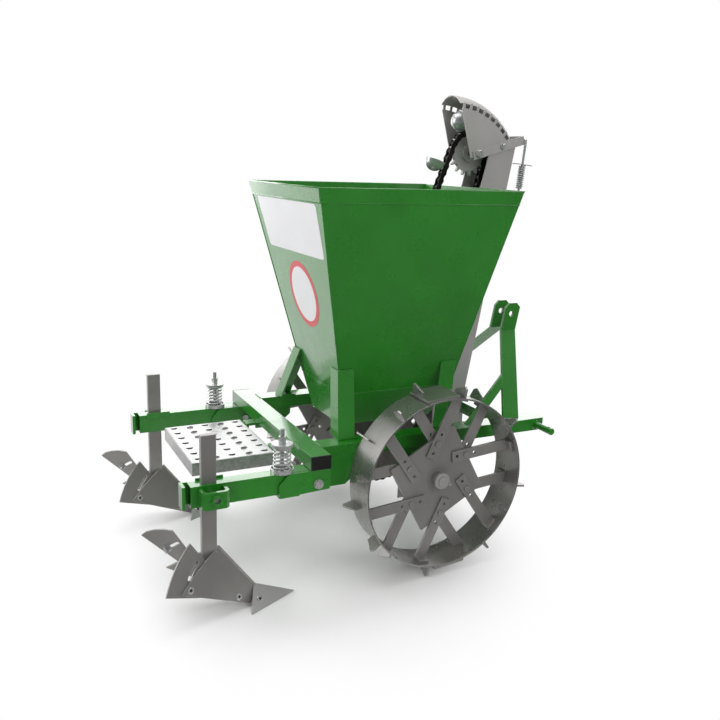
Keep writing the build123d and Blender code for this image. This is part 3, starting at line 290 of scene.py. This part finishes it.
def band(bm, low, high, mat=0, closed=True):
    """Faces between two rows of vertices."""
    count = len(low)
    for i in range(count if closed else count - 1):
        j = (i + 1) % count
        bm.faces.new((low[i], low[j], high[j], high[i])).material_index = mat


def solid(bm, rings, mat=0):
    """Closed solid over rings of vertices."""
    for low, high in zip(rings, rings[1:]):
        band(bm, low, high, mat)
    bm.faces.new(list(reversed(rings[0]))).material_index = mat
    bm.faces.new(rings[-1]).material_index = mat


def ring(bm, centre, a, b, r, sides, turn=0.0):
    """Vertices round a centre, all in metres."""
    angles = [turn + 2 * math.pi * i / sides for i in range(sides)]
    return [bm.verts.new(centre + (a * math.cos(t) + b * math.sin(t)) * r) for t in angles]


def lathe(bm, centre, normal, profile, sides, turn=0.0, mat=0):
    """Solid of revolution, from (radius, height) pairs in millimetres."""
    a, b = basis(normal)
    solid(bm, [ring(bm, centre + normal * (h / 1000), a, b, r / 1000, sides, turn) for r, h in profile], mat)


HEX_TURN = 0.3


def hex_bolt(bm, centre, normal, across, height, washer=0.0):
    """Hexagon head with a chamfered top, on a washer where one is given."""
    base = -0.3
    if washer:
        lathe(bm, centre, normal, [(washer, base), (washer, 1.6), (washer - 0.6, 2.2)], 24)
        base = 1.8
    r = across / 2 / math.cos(math.pi / 6)
    lathe(bm, centre, normal, [(r, base), (r, base + 0.8 * height), (0.86 * r, base + height)], 6, HEX_TURN)


def stud(bm, centre, normal, r, height):
    """Threaded end of a bolt."""
    turns = max(2, int(height / 1.6))
    profile = [(0.86 * r, -0.3)]
    for i in range(turns):
        profile += [(r, height * (i + 0.3) / turns), (0.88 * r, height * (i + 0.8) / turns)]
    profile.append((0.7 * r, height))
    lathe(bm, centre, normal, profile, 14)


def wire(bm, points, r, sides):
    """Round wire of a radius in millimetres, through points in metres."""
    rings = []
    last = None
    for i, p in enumerate(points):
        along = (points[min(i + 1, len(points) - 1)] - points[max(i - 1, 0)]).normalized()
        if last is None:
            a, b = basis(along)
        else:
            a = (last - along * last.dot(along)).normalized()
            b = along.cross(a)
        last = a
        rings.append(ring(bm, p, a, b, r / 1000, sides))
    solid(bm, rings)


def prism(bm, outline, z0, z1):
    """Upright solid on a level outline."""
    solid(bm, [[bm.verts.new(P(x, y, z)) for x, y in outline] for z in (z0, z1)])


# Signs on the hopper's rear sheet, left blank
REAR_LOW = (-225.0, 223.0)
REAR_HIGH = (-370.0, 847.0)
REAR_OUT = D(-(REAR_HIGH[1] - REAR_LOW[1]), 0, REAR_HIGH[0] - REAR_LOW[0])
REAR_UP = D(REAR_HIGH[0] - REAR_LOW[0], 0, REAR_HIGH[1] - REAR_LOW[1])
SIGN = [(240, 594), (-237, 594), (-227, 434), (207, 434)]
SIGN_CORNER, CORNER_STEPS = 14, 5
DISC = Vector((-8.3, 299.2))
DISC_R, RING_R = 88, 106
FOIL_LIFT = 0.05


def on_rear(y, run, out):
    """Point of the rear sheet, so far across, so far up its slope and so far off it."""
    return P(REAR_LOW[0], y, REAR_LOW[1]) + REAR_UP * (run / 1000) + REAR_OUT * (out / 1000)


def rounded(corners, r):
    """Outline with rounded corners."""
    outline = []
    for i, corner in enumerate(corners):
        corner = Vector(corner)
        to_last = (Vector(corners[i - 1]) - corner).normalized()
        to_next = (Vector(corners[(i + 1) % len(corners)]) - corner).normalized()
        for k in range(CORNER_STEPS + 1):
            s = k / CORNER_STEPS
            outline.append(corner + to_last * r * (1 - s) ** 2 + to_next * r * s ** 2)
    return outline


def turned(middle, r, degrees):
    """Point of a plane, so far from a middle and so far round it."""
    t = math.radians(degrees)
    return middle + Vector((math.cos(t), math.sin(t))) * r


def sticker(name, outline, thick, mat):
    bm = bmesh.new()
    solid(bm, [[bm.verts.new(on_rear(y, run, out)) for y, run in outline] for out in (FOIL_LIFT, thick)])
    keep(name, bm, [mat], "frame", "black_plastic")


sticker("blank_sign", rounded(SIGN, SIGN_CORNER), 0.5, WHITE)
sticker("sign_ring", [turned(DISC, RING_R, 5 * i) for i in range(72)], 0.5, RED)
sticker("sign_disc", [turned(DISC, DISC_R, 5 * i) for i in range(72)], 0.8, WHITE)

# Springs on the arms: round wire with closed end turns, and the threads of the rods through them
SPRING_X, RIDGER_Y = -482.0, 325.0
SPRING_R, SPRING_WIRE = 23.5, 2.5
SPRING_LOW, SPRING_TOP = 76.3, 152.6
SPRING_TURNS, CLOSED_TURNS, CLOSED_RISE = 8.0, 0.8, 1.0
TURN_STEPS = 30


def coil(bm, side):
    low, high = SPRING_LOW + SPRING_WIRE, SPRING_TOP - SPRING_WIRE
    points = []
    for i in range(int(SPRING_TURNS * TURN_STEPS) + 1):
        t = i / TURN_STEPS
        if t < CLOSED_TURNS:
            z = low + t / CLOSED_TURNS * CLOSED_RISE
        elif t > SPRING_TURNS - CLOSED_TURNS:
            z = high - (SPRING_TURNS - t) / CLOSED_TURNS * CLOSED_RISE
        else:
            share = (t - CLOSED_TURNS) / (SPRING_TURNS - 2 * CLOSED_TURNS)
            z = low + CLOSED_RISE + (high - low - 2 * CLOSED_RISE) * share
        x, y = turned(Vector((SPRING_X, side * RIDGER_Y)), SPRING_R, 360 * t)
        points.append(P(x, y, z))
    wire(bm, points, SPRING_WIRE, 10)


coils, threads = bmesh.new(), bmesh.new()
for side in HANDS:
    coil(coils, side)
    stud(threads, P(SPRING_X, side * RIDGER_Y, 176), UP, 6.5, 21.5)
keep("spring_coils", coils, [ZINC], "frame", "zinc", "springs", smooth=True)
keep("spring_threads", threads, [THREAD], "frame", "zinc")

# Roller chain with separate link plates
PITCH, LINKS, HEAD_TEETH, FOOT_TEETH = 25.4, 105, 16, 34
HEAD = Vector((285.0, 0, 957.0))
HEAD_R = PITCH / (2 * math.sin(math.pi / HEAD_TEETH))
FOOT_R = PITCH / (2 * math.sin(math.pi / FOOT_TEETH))
LINK_END, LINK_WAIST, LINK_T = 9.8, 7.0, 2.3
LINK_INNER, LINK_OUTER = 6.6, 9.1
ROLLER = [(7.5, 0), (7.5, 13.0)]
PIN = [(3.2, 0), (4.0, 0.6), (4.0, 24.6), (3.2, 25.2)]
lean = math.atan2(HEAD.x, HEAD.z)
taper = math.asin((FOOT_R - HEAD_R) / HEAD.length)
foot_links = (math.pi + 2 * taper) * FOOT_TEETH / (2 * math.pi)
head_links = (math.pi - 2 * taper) * HEAD_TEETH / (2 * math.pi)
run_links = (LINKS - foot_links - head_links) / 2


def chain_point(step):
    """Level point of the loop after so many links."""
    step %= LINKS
    rear = Vector((-math.cos(lean + taper), 0, math.sin(lean + taper)))
    front = Vector((math.cos(lean - taper), 0, -math.sin(lean - taper)))
    if step < run_links:
        return (rear * FOOT_R).lerp(HEAD + rear * HEAD_R, step / run_links)
    if step < run_links + head_links:
        turn = (step - run_links) * 2 * math.pi / HEAD_TEETH
        return HEAD + Matrix.Rotation(turn, 3, "Y") @ rear * HEAD_R
    if step < 2 * run_links + head_links:
        share = (step - run_links - head_links) / run_links
        return (HEAD + front * HEAD_R).lerp(front * FOOT_R, share)
    turn = (step - 2 * run_links - head_links) * 2 * math.pi / FOOT_TEETH
    return Matrix.Rotation(turn, 3, "Y") @ front * FOOT_R


def link_plate(bm, a, b, y):
    """Waisted plate round two pins."""
    along = (b - a).normalized()
    across = Vector((along.z, 0, -along.x))
    half = (b - a).length / 2
    middle = (a + b) / 2
    outline = []
    for end in HANDS:
        for k in range(9):
            t = math.radians(-110 + 220 * k / 8)
            reach = half + LINK_END * math.cos(t)
            outline.append(middle + along * end * reach + across * end * LINK_END * math.sin(t))
        outline.append(middle + across * end * LINK_WAIST)
    solid(bm, [[bm.verts.new(P(v.x, v.y + level, v.z)) for v in outline] for level in (y, y + LINK_T)])


bm = bmesh.new()
for i in range(LINKS):
    a, b = chain_point(i), chain_point(i + 1)
    inset = LINK_INNER if i % 2 else LINK_OUTER
    for y in (-inset - LINK_T, inset):
        link_plate(bm, a, b, y)
    lathe(bm, P(a.x, -6.5, a.z), SIDE, ROLLER, 14)
    lathe(bm, P(a.x, -12.6, a.z), SIDE, PIN, 10)
keep("chain_links", bm, [DARK], "frame", "dark_steel", "elevator_chain")

# Seed cups: thin bowls with a rolled rim, each on a bent tongue
CUP_FIRST, CUP_EVERY = 2, 5
CUP_OUT, BOWL_SHIFT, CUP_SIZE = 38.8, 3, 1.16
BOWL = [(0.5, -28), (8, -26.8), (15, -23.6), (21, -18.5), (25.5, -11.5), (28, -3.5), (29.4, -1.2), (29.8, 0.2),
        (29.2, 1.4), (28, 1.6), (26.8, 0.6), (25.8, -3), (23.4, -10.5), (19.2, -17), (13.8, -21.8), (7.4, -24.8),
        (0.5, -26)]
# Tongue's sections, as the place outward and along, and how its thickness lies there
TONGUE = (((-27.2, 3.0), (1, 0)), ((-27.2, -13.0), (1, 0)), ((-26.4, -15.6), (0.7, 0.7)),
          ((-24.0, -17.0), (0, 1)), ((-18.5, -17.2), (0, 1)))
TONGUE_SECTION = ((-1.4, -11), (-1.4, 11), (1.4, 11), (1.4, -11))
bm = bmesh.new()
for link in range(CUP_FIRST, LINKS, CUP_EVERY):
    travel = (chain_point(link + 0.5) - chain_point(link - 0.5)).normalized()
    outward = Vector((-travel.z, 0, travel.x))
    seat = chain_point(link) + outward * CUP_OUT
    bowl = [(CUP_SIZE * r, CUP_SIZE * h) for r, h in BOWL]
    lathe(bm, P(*(seat + outward * BOWL_SHIFT)), D(*travel), bowl, 24)
    sections = []
    for (out, along), (lie_out, lie_along) in TONGUE:
        sections.append([bm.verts.new(P(*(seat + outward * (out + thick * lie_out) + SIDE * across
                                          + travel * (along + thick * lie_along))))
                         for thick, across in TONGUE_SECTION])
    solid(bm, sections)
keep("cup_bowls", bm, [ZINC], "frame", "zinc", "seed_cups", smooth=True)

# Foot plate: bent edges, and rows of half-moons pressed down and up by turns; painted shade fills the sunk ones in
# black and the raised ones' mouths in grey.
STEP_X, STEP_HALF, STEP_TOP = (-694.0, -442.0), 168.0, 70.0
STEP_EDGE = ((4, 70), (2.5, 69.7), (1.2, 68.8), (0.3, 67.5), (0, 66), (0, 30), (3, 30), (3, 67))
MOON_ROWS, MOONS_A_ROW = 5, 7
MOON_R, MOON_LONG, MOON_DEEP = 11.0, 16, 7
DOME_SUNK, DOME_HIGH, DOME_RINGS = 0.2, 5.2, 5
ARC = [(math.cos(math.pi * k / 10), math.sin(math.pi * k / 10)) for k in range(11)]


def pocket(bm, x, y):
    """Half-moon pressed down, its walls and floor black as painted shade; gives back the edges of its mouth."""
    outline = [(x + MOON_R * c, y + MOON_LONG / 2 - MOON_LONG * s) for c, s in ARC]
    high, low = [[bm.verts.new(P(px, py, z)) for px, py in outline] for z in (STEP_TOP, STEP_TOP - MOON_DEEP)]
    # Black walls and floor: painted shade in the sunk half-moon.
    band(bm, high, low, 1)
    bm.faces.new(low).material_index = 1
    return [bm.edges.get((high[k - 1], high[k])) for k in range(len(high))]


def dome(bm, x, y):
    """Half-moon pressed up, with a flat mouth painted grey as the shade inside it."""
    shell = []
    for i in range(DOME_RINGS + 1):
        t = math.pi / 2 * i / DOME_RINGS
        z = STEP_TOP - DOME_SUNK + DOME_HIGH * math.sin(t) + 0.01 * (i == DOME_RINGS)
        r = MOON_R * math.cos(t)
        shell.append([bm.verts.new(P(x + r * c, y - 4 + r * s, z)) for c, s in ARC])
    for low, high in zip(shell, shell[1:]):
        band(bm, low, high, closed=False)
    mouth = [row[0] for row in shell] + [row[-1] for row in reversed(shell[:-1])]
    # Flat grey face across the mouth: painted shade inside the raised half-moon.
    bm.faces.new(mouth).material_index = 2


bm = bmesh.new()
rims = []
for inset, z in STEP_EDGE:
    x0, x1, y1 = STEP_X[0] + inset, STEP_X[1] - inset, STEP_HALF - inset
    rims.append([bm.verts.new(P(x, y, z)) for x, y in ((x0, -y1), (x1, -y1), (x1, y1), (x0, y1))])
for low, high in zip(rims, rims[1:]):
    band(bm, low, high)
bm.faces.new(rims[-1])
fill_edges = [bm.edges.get((rims[0][i - 1], rims[0][i])) for i in range(4)]
for i in range(MOON_ROWS):
    for j in range(MOONS_A_ROW):
        x = STEP_X[0] + (STEP_X[1] - STEP_X[0]) * (i + 0.5) / MOON_ROWS
        y = STEP_HALF * (2 * (j + 0.5) / MOONS_A_ROW - 1)
        if i % 2 == 0:
            fill_edges += pocket(bm, x, y)
        else:
            dome(bm, x, y)
bmesh.ops.triangle_fill(bm, edges=fill_edges, use_beauty=True, normal=UP)
# Materials: the galvanised sheet, black painted shade in the sunk half-moons, grey painted shade across the raised
# ones' mouths.
keep("foot_plate_skin", bm, [GALV, BLACK, GREY], "frame", "galvanised", "foot_plate")

# Rear ends of the arms: a short open channel, and a small clamp tab on the inner face
CHANNEL = ((-745, 20), (-766, 20), (-768, 18), (-768, -19), (-767, -20), (-760, -20), (-759, -19), (-759, 13),
           (-758, 14), (-745, 14))
TAB = ((-722, 19.9), (-645, 19.9), (-645, 23), (-646, 24), (-721, 24), (-722, 23))
bm = bmesh.new()
for side in HANDS:
    prism(bm, [(x, side * RIDGER_Y + y) for x, y in CHANNEL], 11.5, 75)
    prism(bm, [(x, side * (RIDGER_Y - y)) for x, y in TAB], 62, 80)
keep("arm_ends", bm, [GREEN], "frame", "green_paint")

# Tension rod: hooked over the strap's front end, with a coil spring under its stop plate
ROD_LOW, ROD_R = 770.0, 4.5
ROD_HOOK = ((1, 2), (6, 5), (14, 5.5), (24, 4), (30, -2), (32, -9))
COIL_LOW, COIL_HIGH, COIL_R, COIL_WIRE, COIL_TURNS, COIL_STEPS = 850, 74, 10.4, 2.4, 11, 18
STOP_Z, STOP_LONG, STOP_WIDE, STOP_T = 927.0, 32, 12, 1.5


def tension_line(z):
    """Level point of the rod at a height."""
    return Vector((443.0 + (z - ROD_LOW) * 22.0 / 237.2, -68.8, z))


bm = bmesh.new()
rod_path = [tension_line(z) for z in (ROD_LOW, 850, 930, 996)]
rod_path += [tension_line(1004) + Vector((0, dy, dz)) for dy, dz in ROD_HOOK]
wire(bm, [P(*v) for v in rod_path], ROD_R, 12)
coil_path = []
for i in range(COIL_TURNS * COIL_STEPS + 1):
    t = 2 * math.pi * i / COIL_STEPS
    middle = tension_line(COIL_LOW + COIL_HIGH * i / (COIL_TURNS * COIL_STEPS))
    coil_path.append(P(*(middle + Vector((math.cos(t), math.sin(t), 0)) * COIL_R)))
wire(bm, coil_path, COIL_WIRE, 8)
rod_way = (tension_line(930) - tension_line(ROD_LOW)).normalized()
rod_fore = Vector((rod_way.z, 0, -rod_way.x))
solid(bm, [[bm.verts.new(P(*(tension_line(STOP_Z) + rod_fore * a * STOP_LONG + SIDE * b * STOP_WIDE
                             + rod_way * c * STOP_T))) for a, b in ((-1, -1), (1, -1), (1, 1), (-1, 1))]
           for c in (-1, 1)])
keep("tension_spring", bm, [ZINC], "frame", "zinc", "tension_rod")

# Weld beads, painted over
BEAD_STEP = 2.2


def bead(bm, a, b, r):
    """Row of ripples between two level points."""
    a, b = Vector(a), Vector(b)
    count = max(3, int((b - a).length / BEAD_STEP))
    u, v = basis(D(*(b - a)))
    rings = []
    for i in range(count + 1):
        size = r * (0.5 if i in (0, count) else 0.88 + 0.24 * (i % 2))
        rings.append(ring(bm, P(*a.lerp(b, i / count)), u, v, size / 1000, 6))
    solid(bm, rings)


bm = bmesh.new()
for side in HANDS:
    for y in (252.0, 262.0):
        bead(bm, (317, side * y, 115.5), (375, side * y, 115.5), 3.0)
    for y in (253.0, 261.0):
        bead(bm, (169, side * y, 115.5), (211, side * y, 115.5), 2.6)
    bead(bm, (-347, side * 236, 115.4), (-347, side * 288, 115.4), 2.6)
    bead(bm, (-347, side * 292.3, 79), (-347, side * 292.3, 111), 2.6)
    bead(bm, (-342, side * 290, 75), (-220, side * 290, 75), 2.6)
    for x in (-723.5, -650.5):
        bead(bm, (x, side * 345.2, 22), (x, side * 345.2, 64), 2.6)
    for y in (293.0, 357.0):
        bead(bm, (-405, side * y, 74.6), (-350, side * y, 74.6), 2.4)
    bead(bm, (-247, side * 174.5, 305), (-196, side * 174.5, 305), 2.6)
    bead(bm, (118, side * 174.5, 305), (169, side * 174.5, 305), 2.6)
    bead(bm, (-225, side * 155, 223), (170, side * 155, 223), 2.0)
for y in (-228, 180):
    bead(bm, (296, y, 115.4), (296, y + 48, 115.4), 2.2)
keep("welds", bm, [GREEN], "frame", "green_paint", smooth=True)

# Rounded edges of the hopper: its top, the hem below it and its four corners
TOP_EDGE = (847, -371.5, 304.5, 291.5, 2.1)
HEM = (806.6, -362.6, 296.3, 283.3, 1.6)
bm = bmesh.new()
for z, x0, x1, y1, r in (TOP_EDGE, HEM):
    corners = [P(x, y, z) for x, y in ((x0, y1), (x0, -y1), (x1, -y1), (x1, y1))]
    for i in range(4):
        wire(bm, [corners[i], corners[(i + 1) % 4]], r, 8)
for x0, x1 in ((-225, -370), (170, 303)):
    for side in HANDS:
        wire(bm, [P(x0, side * 154.4, 223), P(x1, side * 289.4, 846)], 1.8, 8)
keep("hopper_edges", bm, [GREEN], "frame", "green_paint", smooth=True)

# Bolts of the wheels, their hub ends and the screws of the hubs
SPOKES, SPOKE_TURN, SPOKE_OFFSET, SPOKE_BOLT, PLATE = 6, 25.0, 58.0, 97, 8.0
WHEEL_Y, SLEEVE_Y, AXLE_END_Y = 371.5, 396.5, 409.3
SLEEVE = [(23.6, 0), (25.2, 0.8), (25.2, 3.2), (24.3, 3.7), (25.2, 4.2), (25.2, 7.6), (23.4, 9.3), (15.8, 9.5)]
AXLE_END = [(15.1, -2.4), (15.1, 0), (13.9, 1.0), (9.4, 1.2), (8.9, 0.5), (5.4, 0.5), (4.9, 1.2), (0.5, 1.3)]


def about_axle(x, z, degrees):
    """Turn a point round the axle, as the wheels' parts are placed."""
    t = math.radians(degrees)
    return x * math.cos(t) + z * math.sin(t), -x * math.sin(t) + z * math.cos(t)


wheel_bolts, hubs, screws = bmesh.new(), bmesh.new(), bmesh.new()
for side in HANDS:
    for face in HANDS:
        for i in range(SPOKES):
            x, z = about_axle(-face * SPOKE_OFFSET, SPOKE_BOLT, SPOKE_TURN + 360 / SPOKES * i)
            y = side * (WHEEL_Y + face * 1.5 * PLATE)
            hex_bolt(wheel_bolts, P(x, y, z), D(0, side * face, 0), 16, 5.5)
    lathe(hubs, P(0, side * SLEEVE_Y, 0), D(0, side, 0), SLEEVE, 40)
    lathe(hubs, P(0, side * AXLE_END_Y, 0), D(0, side, 0), AXLE_END, 32)
    hex_bolt(screws, P(22.4, side * 399, -11.2), D(0.894, 0, -0.447), 13, 8, 8)
keep("wheel_bolts", wheel_bolts, [GREY], "wheels", "grey_steel")
keep("hub_ends", hubs, [BRIGHT], "wheels", "grey_steel")
keep("hub_screws", screws, [ZINC], "wheels", "zinc")

# Bolts of the frame, and the washers of the arm pivots
bm = bmesh.new()
for side in HANDS:
    out = D(0, side, 0)
    for x in (-262.0, 62.0):
        hex_bolt(bm, P(x, side * 243, 120), UP, 17, 7, 12)
        stud(bm, P(x, side * 243, 128), UP, 5, 7)
    hex_bolt(bm, P(285, side * 65.5, 957), out, 22, 8, 15)
    hex_bolt(bm, P(378, side * 64.5, 982), out, 17, 7, 12)
    lathe(bm, P(-383, side * 355, 32), out, [(14, -0.2), (14, 1.6), (13, 2.2)], 28)
    hex_bolt(bm, P(-330, side * 292, 62), out, 17, 7, 13)
keep("frame_bolts", bm, [ZINC], "frame", "zinc")

# Ridgers: the bolts of their plates, as (x, off the ridger's middle, z) and the plate's outward way
BODY_OUT = (0.394, 0.869, 0.299)
POINT_OUT = (0.279, 0.673, 0.685)
PLATE_BOLTS = (((-762.7, 72.0, -195.2), BODY_OUT), ((-617.0, 31.1, -268.0), BODY_OUT),
               ((-556.3, 32.7, -286.9), POINT_OUT))
PLOUGH_HEAD = [(10.0, -0.6), (10.0, 0.9), (8.6, 1.8), (4.8, 2.1), (4.3, 1.9)]
# Black hexagon on each head, drawn for its socket: painted shade.
PAINTED_SOCKET_SHADE = [(4.5, 0.2), (4.5, 2.15), (0.4, 1.95)]
WING_BOLT = (-793.0, 51.5, -125.0)

# Wings, in X and Z: a high one on the left and a low one on the right, each round its pivot with a slot
BODY_TOP, BODY_FOOT, BODY_WAY, BODY_FLARE = (-664.0, -116.0), (-790.0, -197.0), (142.0, 108.0), 85.0
WING_INSET, WING_T, WING_ROOT, SLOT_HALF = 5.3, 4.0, 22, 5
HIGH_PIVOT, LOW_PIVOT = Vector((-657.0, -268.0)), Vector((-622.0, -268.0))
HIGH_RIM = ((-781.0, -61.0), (-803.0, -57.0), (-826.0, -59.0), (-845.0, -66.0), (-855.9, -78.0))
LOW_R, LOW_START, LOW_SWEEP, LOW_STEPS = 223, 159.1, 35, 12
HIGH_SLOT = (197, 123.8, 129.2)
LOW_SLOT = (170, 130, 144)


def arc_slot(pivot, r, start, end):
    """Round-ended slot about a pivot."""
    sweep = [start + (end - start) * k / 6 for k in range(7)]
    outline = [turned(pivot, r + SLOT_HALF, t) for t in sweep]
    outline += [turned(turned(pivot, r, end), SLOT_HALF, end + 30 * k) for k in range(1, 6)]
    outline += [turned(pivot, r - SLOT_HALF, t) for t in reversed(sweep)]
    return outline + [turned(turned(pivot, r, start), SLOT_HALF, start + 180 + 30 * k) for k in range(1, 6)]


def body_run(x, z):
    """How far back and down a point lies from the top of a ridger's side plate, along its flare."""
    return BODY_WAY[0] * (BODY_TOP[0] - x) + BODY_WAY[1] * (BODY_TOP[1] - z)


def behind_body(x, z):
    """How far off the ridger's middle its flaring side plate lies."""
    return BODY_FLARE * body_run(x, z) / body_run(*BODY_FOOT)


def wing(bm, middle, hand, outline, slot):
    """Plate behind a ridger's body, with its slot cut through."""
    way = D(BODY_OUT[0], hand * BODY_OUT[1], BODY_OUT[2])
    faces = []
    for inset in (WING_INSET, WING_INSET + WING_T):
        loops = [[bm.verts.new(P(x, middle + hand * behind_body(x, z), z) - way * (inset / 1000)) for x, z in loop]
                 for loop in (outline, slot)]
        edges = [bm.edges.new((loop[i - 1], loop[i])) for loop in loops for i in range(len(loop))]
        bmesh.ops.triangle_fill(bm, edges=edges, use_beauty=True, normal=way)
        faces.append(loops)
    for near, far in zip(*faces):
        band(bm, near, far)


high_outline = [Vector(p) for p in HIGH_RIM]
high_outline += [HIGH_PIVOT + (p - HIGH_PIVOT).normalized() * WING_ROOT for p in (high_outline[-1], high_outline[0])]
low_outline = [turned(LOW_PIVOT, LOW_R, LOW_START - LOW_SWEEP * k / LOW_STEPS) for k in range(LOW_STEPS + 1)]
low_outline += [turned(LOW_PIVOT, WING_ROOT, t) for t in (LOW_START - LOW_SWEEP, LOW_START)]
for hand, name in ((1, "left"), (-1, "right")):
    body, middle = "ridger_" + name, hand * RIDGER_Y
    bm = bmesh.new()
    for (x, off, z), (nx, ny, nz) in PLATE_BOLTS:
        for face in HANDS:
            place, way = P(x, middle + face * off, z), D(nx, face * ny, nz)
            lathe(bm, place, way, PLOUGH_HEAD, 20)
            # Black socket on the head: painted shade.
            lathe(bm, place, way, PAINTED_SOCKET_SHADE, 6, mat=1)
    inner = -D(*BODY_OUT)
    place = P(WING_BOLT[0], middle + WING_BOLT[1], WING_BOLT[2])
    hex_bolt(bm, place, inner, 15, 6, 12)
    stud(bm, place + inner * 0.0075, inner, 4.5, 9)
    keep(body + "_bolts", bm, [ZINC, BLACK], body, "zinc")
    bm = bmesh.new()
    wing(bm, middle, 1, high_outline, arc_slot(HIGH_PIVOT, *HIGH_SLOT))
    wing(bm, middle, -1, low_outline, arc_slot(LOW_PIVOT, *LOW_SLOT))
    keep(body + "_wings", bm, [GREY], body, "grey_steel", "ridger_wings_" + name)

# Floor: a white sheet that fades into the background; mirrored, it is brighter behind the machine
BEHIND = (0.25, 0.97, 0.0)
MIRROR_NEAR, MIRROR_FAR = 0.12, 1.0
FLOOR_HALF, FLOOR_DROP = 30, 0.0005
FADE_MIDDLE, FADE_START, FADE_END = (-0.2, -0.1, 0), 0.36, 0.86
floor_mesh = bpy.data.meshes.new("floor")
bm = bmesh.new()
bmesh.ops.create_grid(bm, x_segments=1, y_segments=1, size=FLOOR_HALF)
bm.to_mesh(floor_mesh)
bm.free()
floor = bpy.data.objects.new("floor", floor_mesh)
scene.collection.objects.link(floor)
floor.location.z = -FLOOR_DROP

floor_mat, tree, shader, coords = material("studio_floor")
cloud = ramp(tree, noise(tree, coords, 3.0), 0.3, (0.84, 0.84, 0.84), 0.7, (0.88, 0.88, 0.88))
tree.links.new(cloud, shader.inputs["Base Color"])
shader.inputs["Roughness"].default_value = 0.6
shader.inputs["Specular IOR Level"].default_value = 0.2
far = add(tree, "ShaderNodeVectorMath", {1: FADE_MIDDLE}, {0: coords})
far.operation = "DISTANCE"
fade = spread(tree, far.outputs["Value"], 0.0, 1.0, FADE_START, FADE_END, smooth=True)
rise = spread(tree, toward(tree, coords, BEHIND), MIRROR_NEAR, MIRROR_FAR, -0.6, 1.1, smooth=True)
path = add(tree, "ShaderNodeLightPath").outputs
power = add(tree, "ShaderNodeMix", {"A": 1.0}, {"Factor": path["Is Glossy Ray"], "B": rise})
glow = add(tree, "ShaderNodeEmission", links={"Strength": power.outputs["Result"]})
seen = combine(tree, "MAXIMUM", path["Is Camera Ray"], path["Is Glossy Ray"])
share = combine(tree, "MULTIPLY", fade, seen)
blend = add(tree, "ShaderNodeMixShader", links={"Fac": share, 1: shader.outputs["BSDF"], 2: glow.outputs["Emission"]})
tree.links.new(blend.outputs["Shader"], tree.nodes["Material Output"].inputs["Surface"])
floor_mesh.materials.append(floor_mat)

# Surroundings: white to the camera, dim as light; mirrored, bright behind the machine and dim on the camera's side
world = bpy.data.worlds.new("studio")
scene.world = world
world.use_nodes = True
tree = world.node_tree
tree.nodes.clear()
WHITE_SKY = (1, 1, 1, 1)
way = add(tree, "ShaderNodeTexCoord").outputs["Generated"]
level = spread(tree, toward(tree, way, BEHIND), MIRROR_NEAR, MIRROR_FAR, -0.5, 0.9, smooth=True)
dim = add(tree, "ShaderNodeBackground", {"Color": WHITE_SKY, "Strength": 0.5}).outputs["Background"]
bright = add(tree, "ShaderNodeBackground", {"Color": WHITE_SKY, "Strength": 1.0}).outputs["Background"]
mirrored = add(tree, "ShaderNodeBackground", {"Color": WHITE_SKY}, {"Strength": level}).outputs["Background"]
path = add(tree, "ShaderNodeLightPath").outputs
glossy = add(tree, "ShaderNodeMixShader", links={"Fac": path["Is Glossy Ray"], 1: dim, 2: mirrored})
pick = add(tree, "ShaderNodeMixShader", links={"Fac": path["Is Camera Ray"], 1: glossy.outputs["Shader"], 2: bright})
add(tree, "ShaderNodeOutputWorld", links={"Surface": pick.outputs["Shader"]})


def softbox(name, place, target, size, power, mirrored):
    """Area lamp, hidden from the camera and, unless mirrored, from reflections."""
    data = bpy.data.lights.new(name, "AREA")
    data.shape = "RECTANGLE"
    data.size, data.size_y = size
    data.energy = power
    lamp = bpy.data.objects.new(name, data)
    scene.collection.objects.link(lamp)
    lamp.location = place
    lamp.rotation_euler = (Vector(target) - Vector(place)).to_track_quat("-Z", "Y").to_euler()
    lamp.visible_camera = False
    lamp.visible_glossy = mirrored


softbox("top_light", (-0.2, 0.4, 3.6), (0, 0, 0.3), (3.2, 3.2), 88, True)
softbox("back_light", (1.3, 4.4, 1.5), (0.2, 0, 0.5), (6.5, 2.8), 95, True)
softbox("rear_light", (-3.2, 1.6, 1.7), (-0.2, 0, 0.6), (2.4, 2.0), 50, True)
softbox("side_light", (0.6, -3.8, 2.2), (0, 0, 0.5), (2.6, 1.8), 40, False)
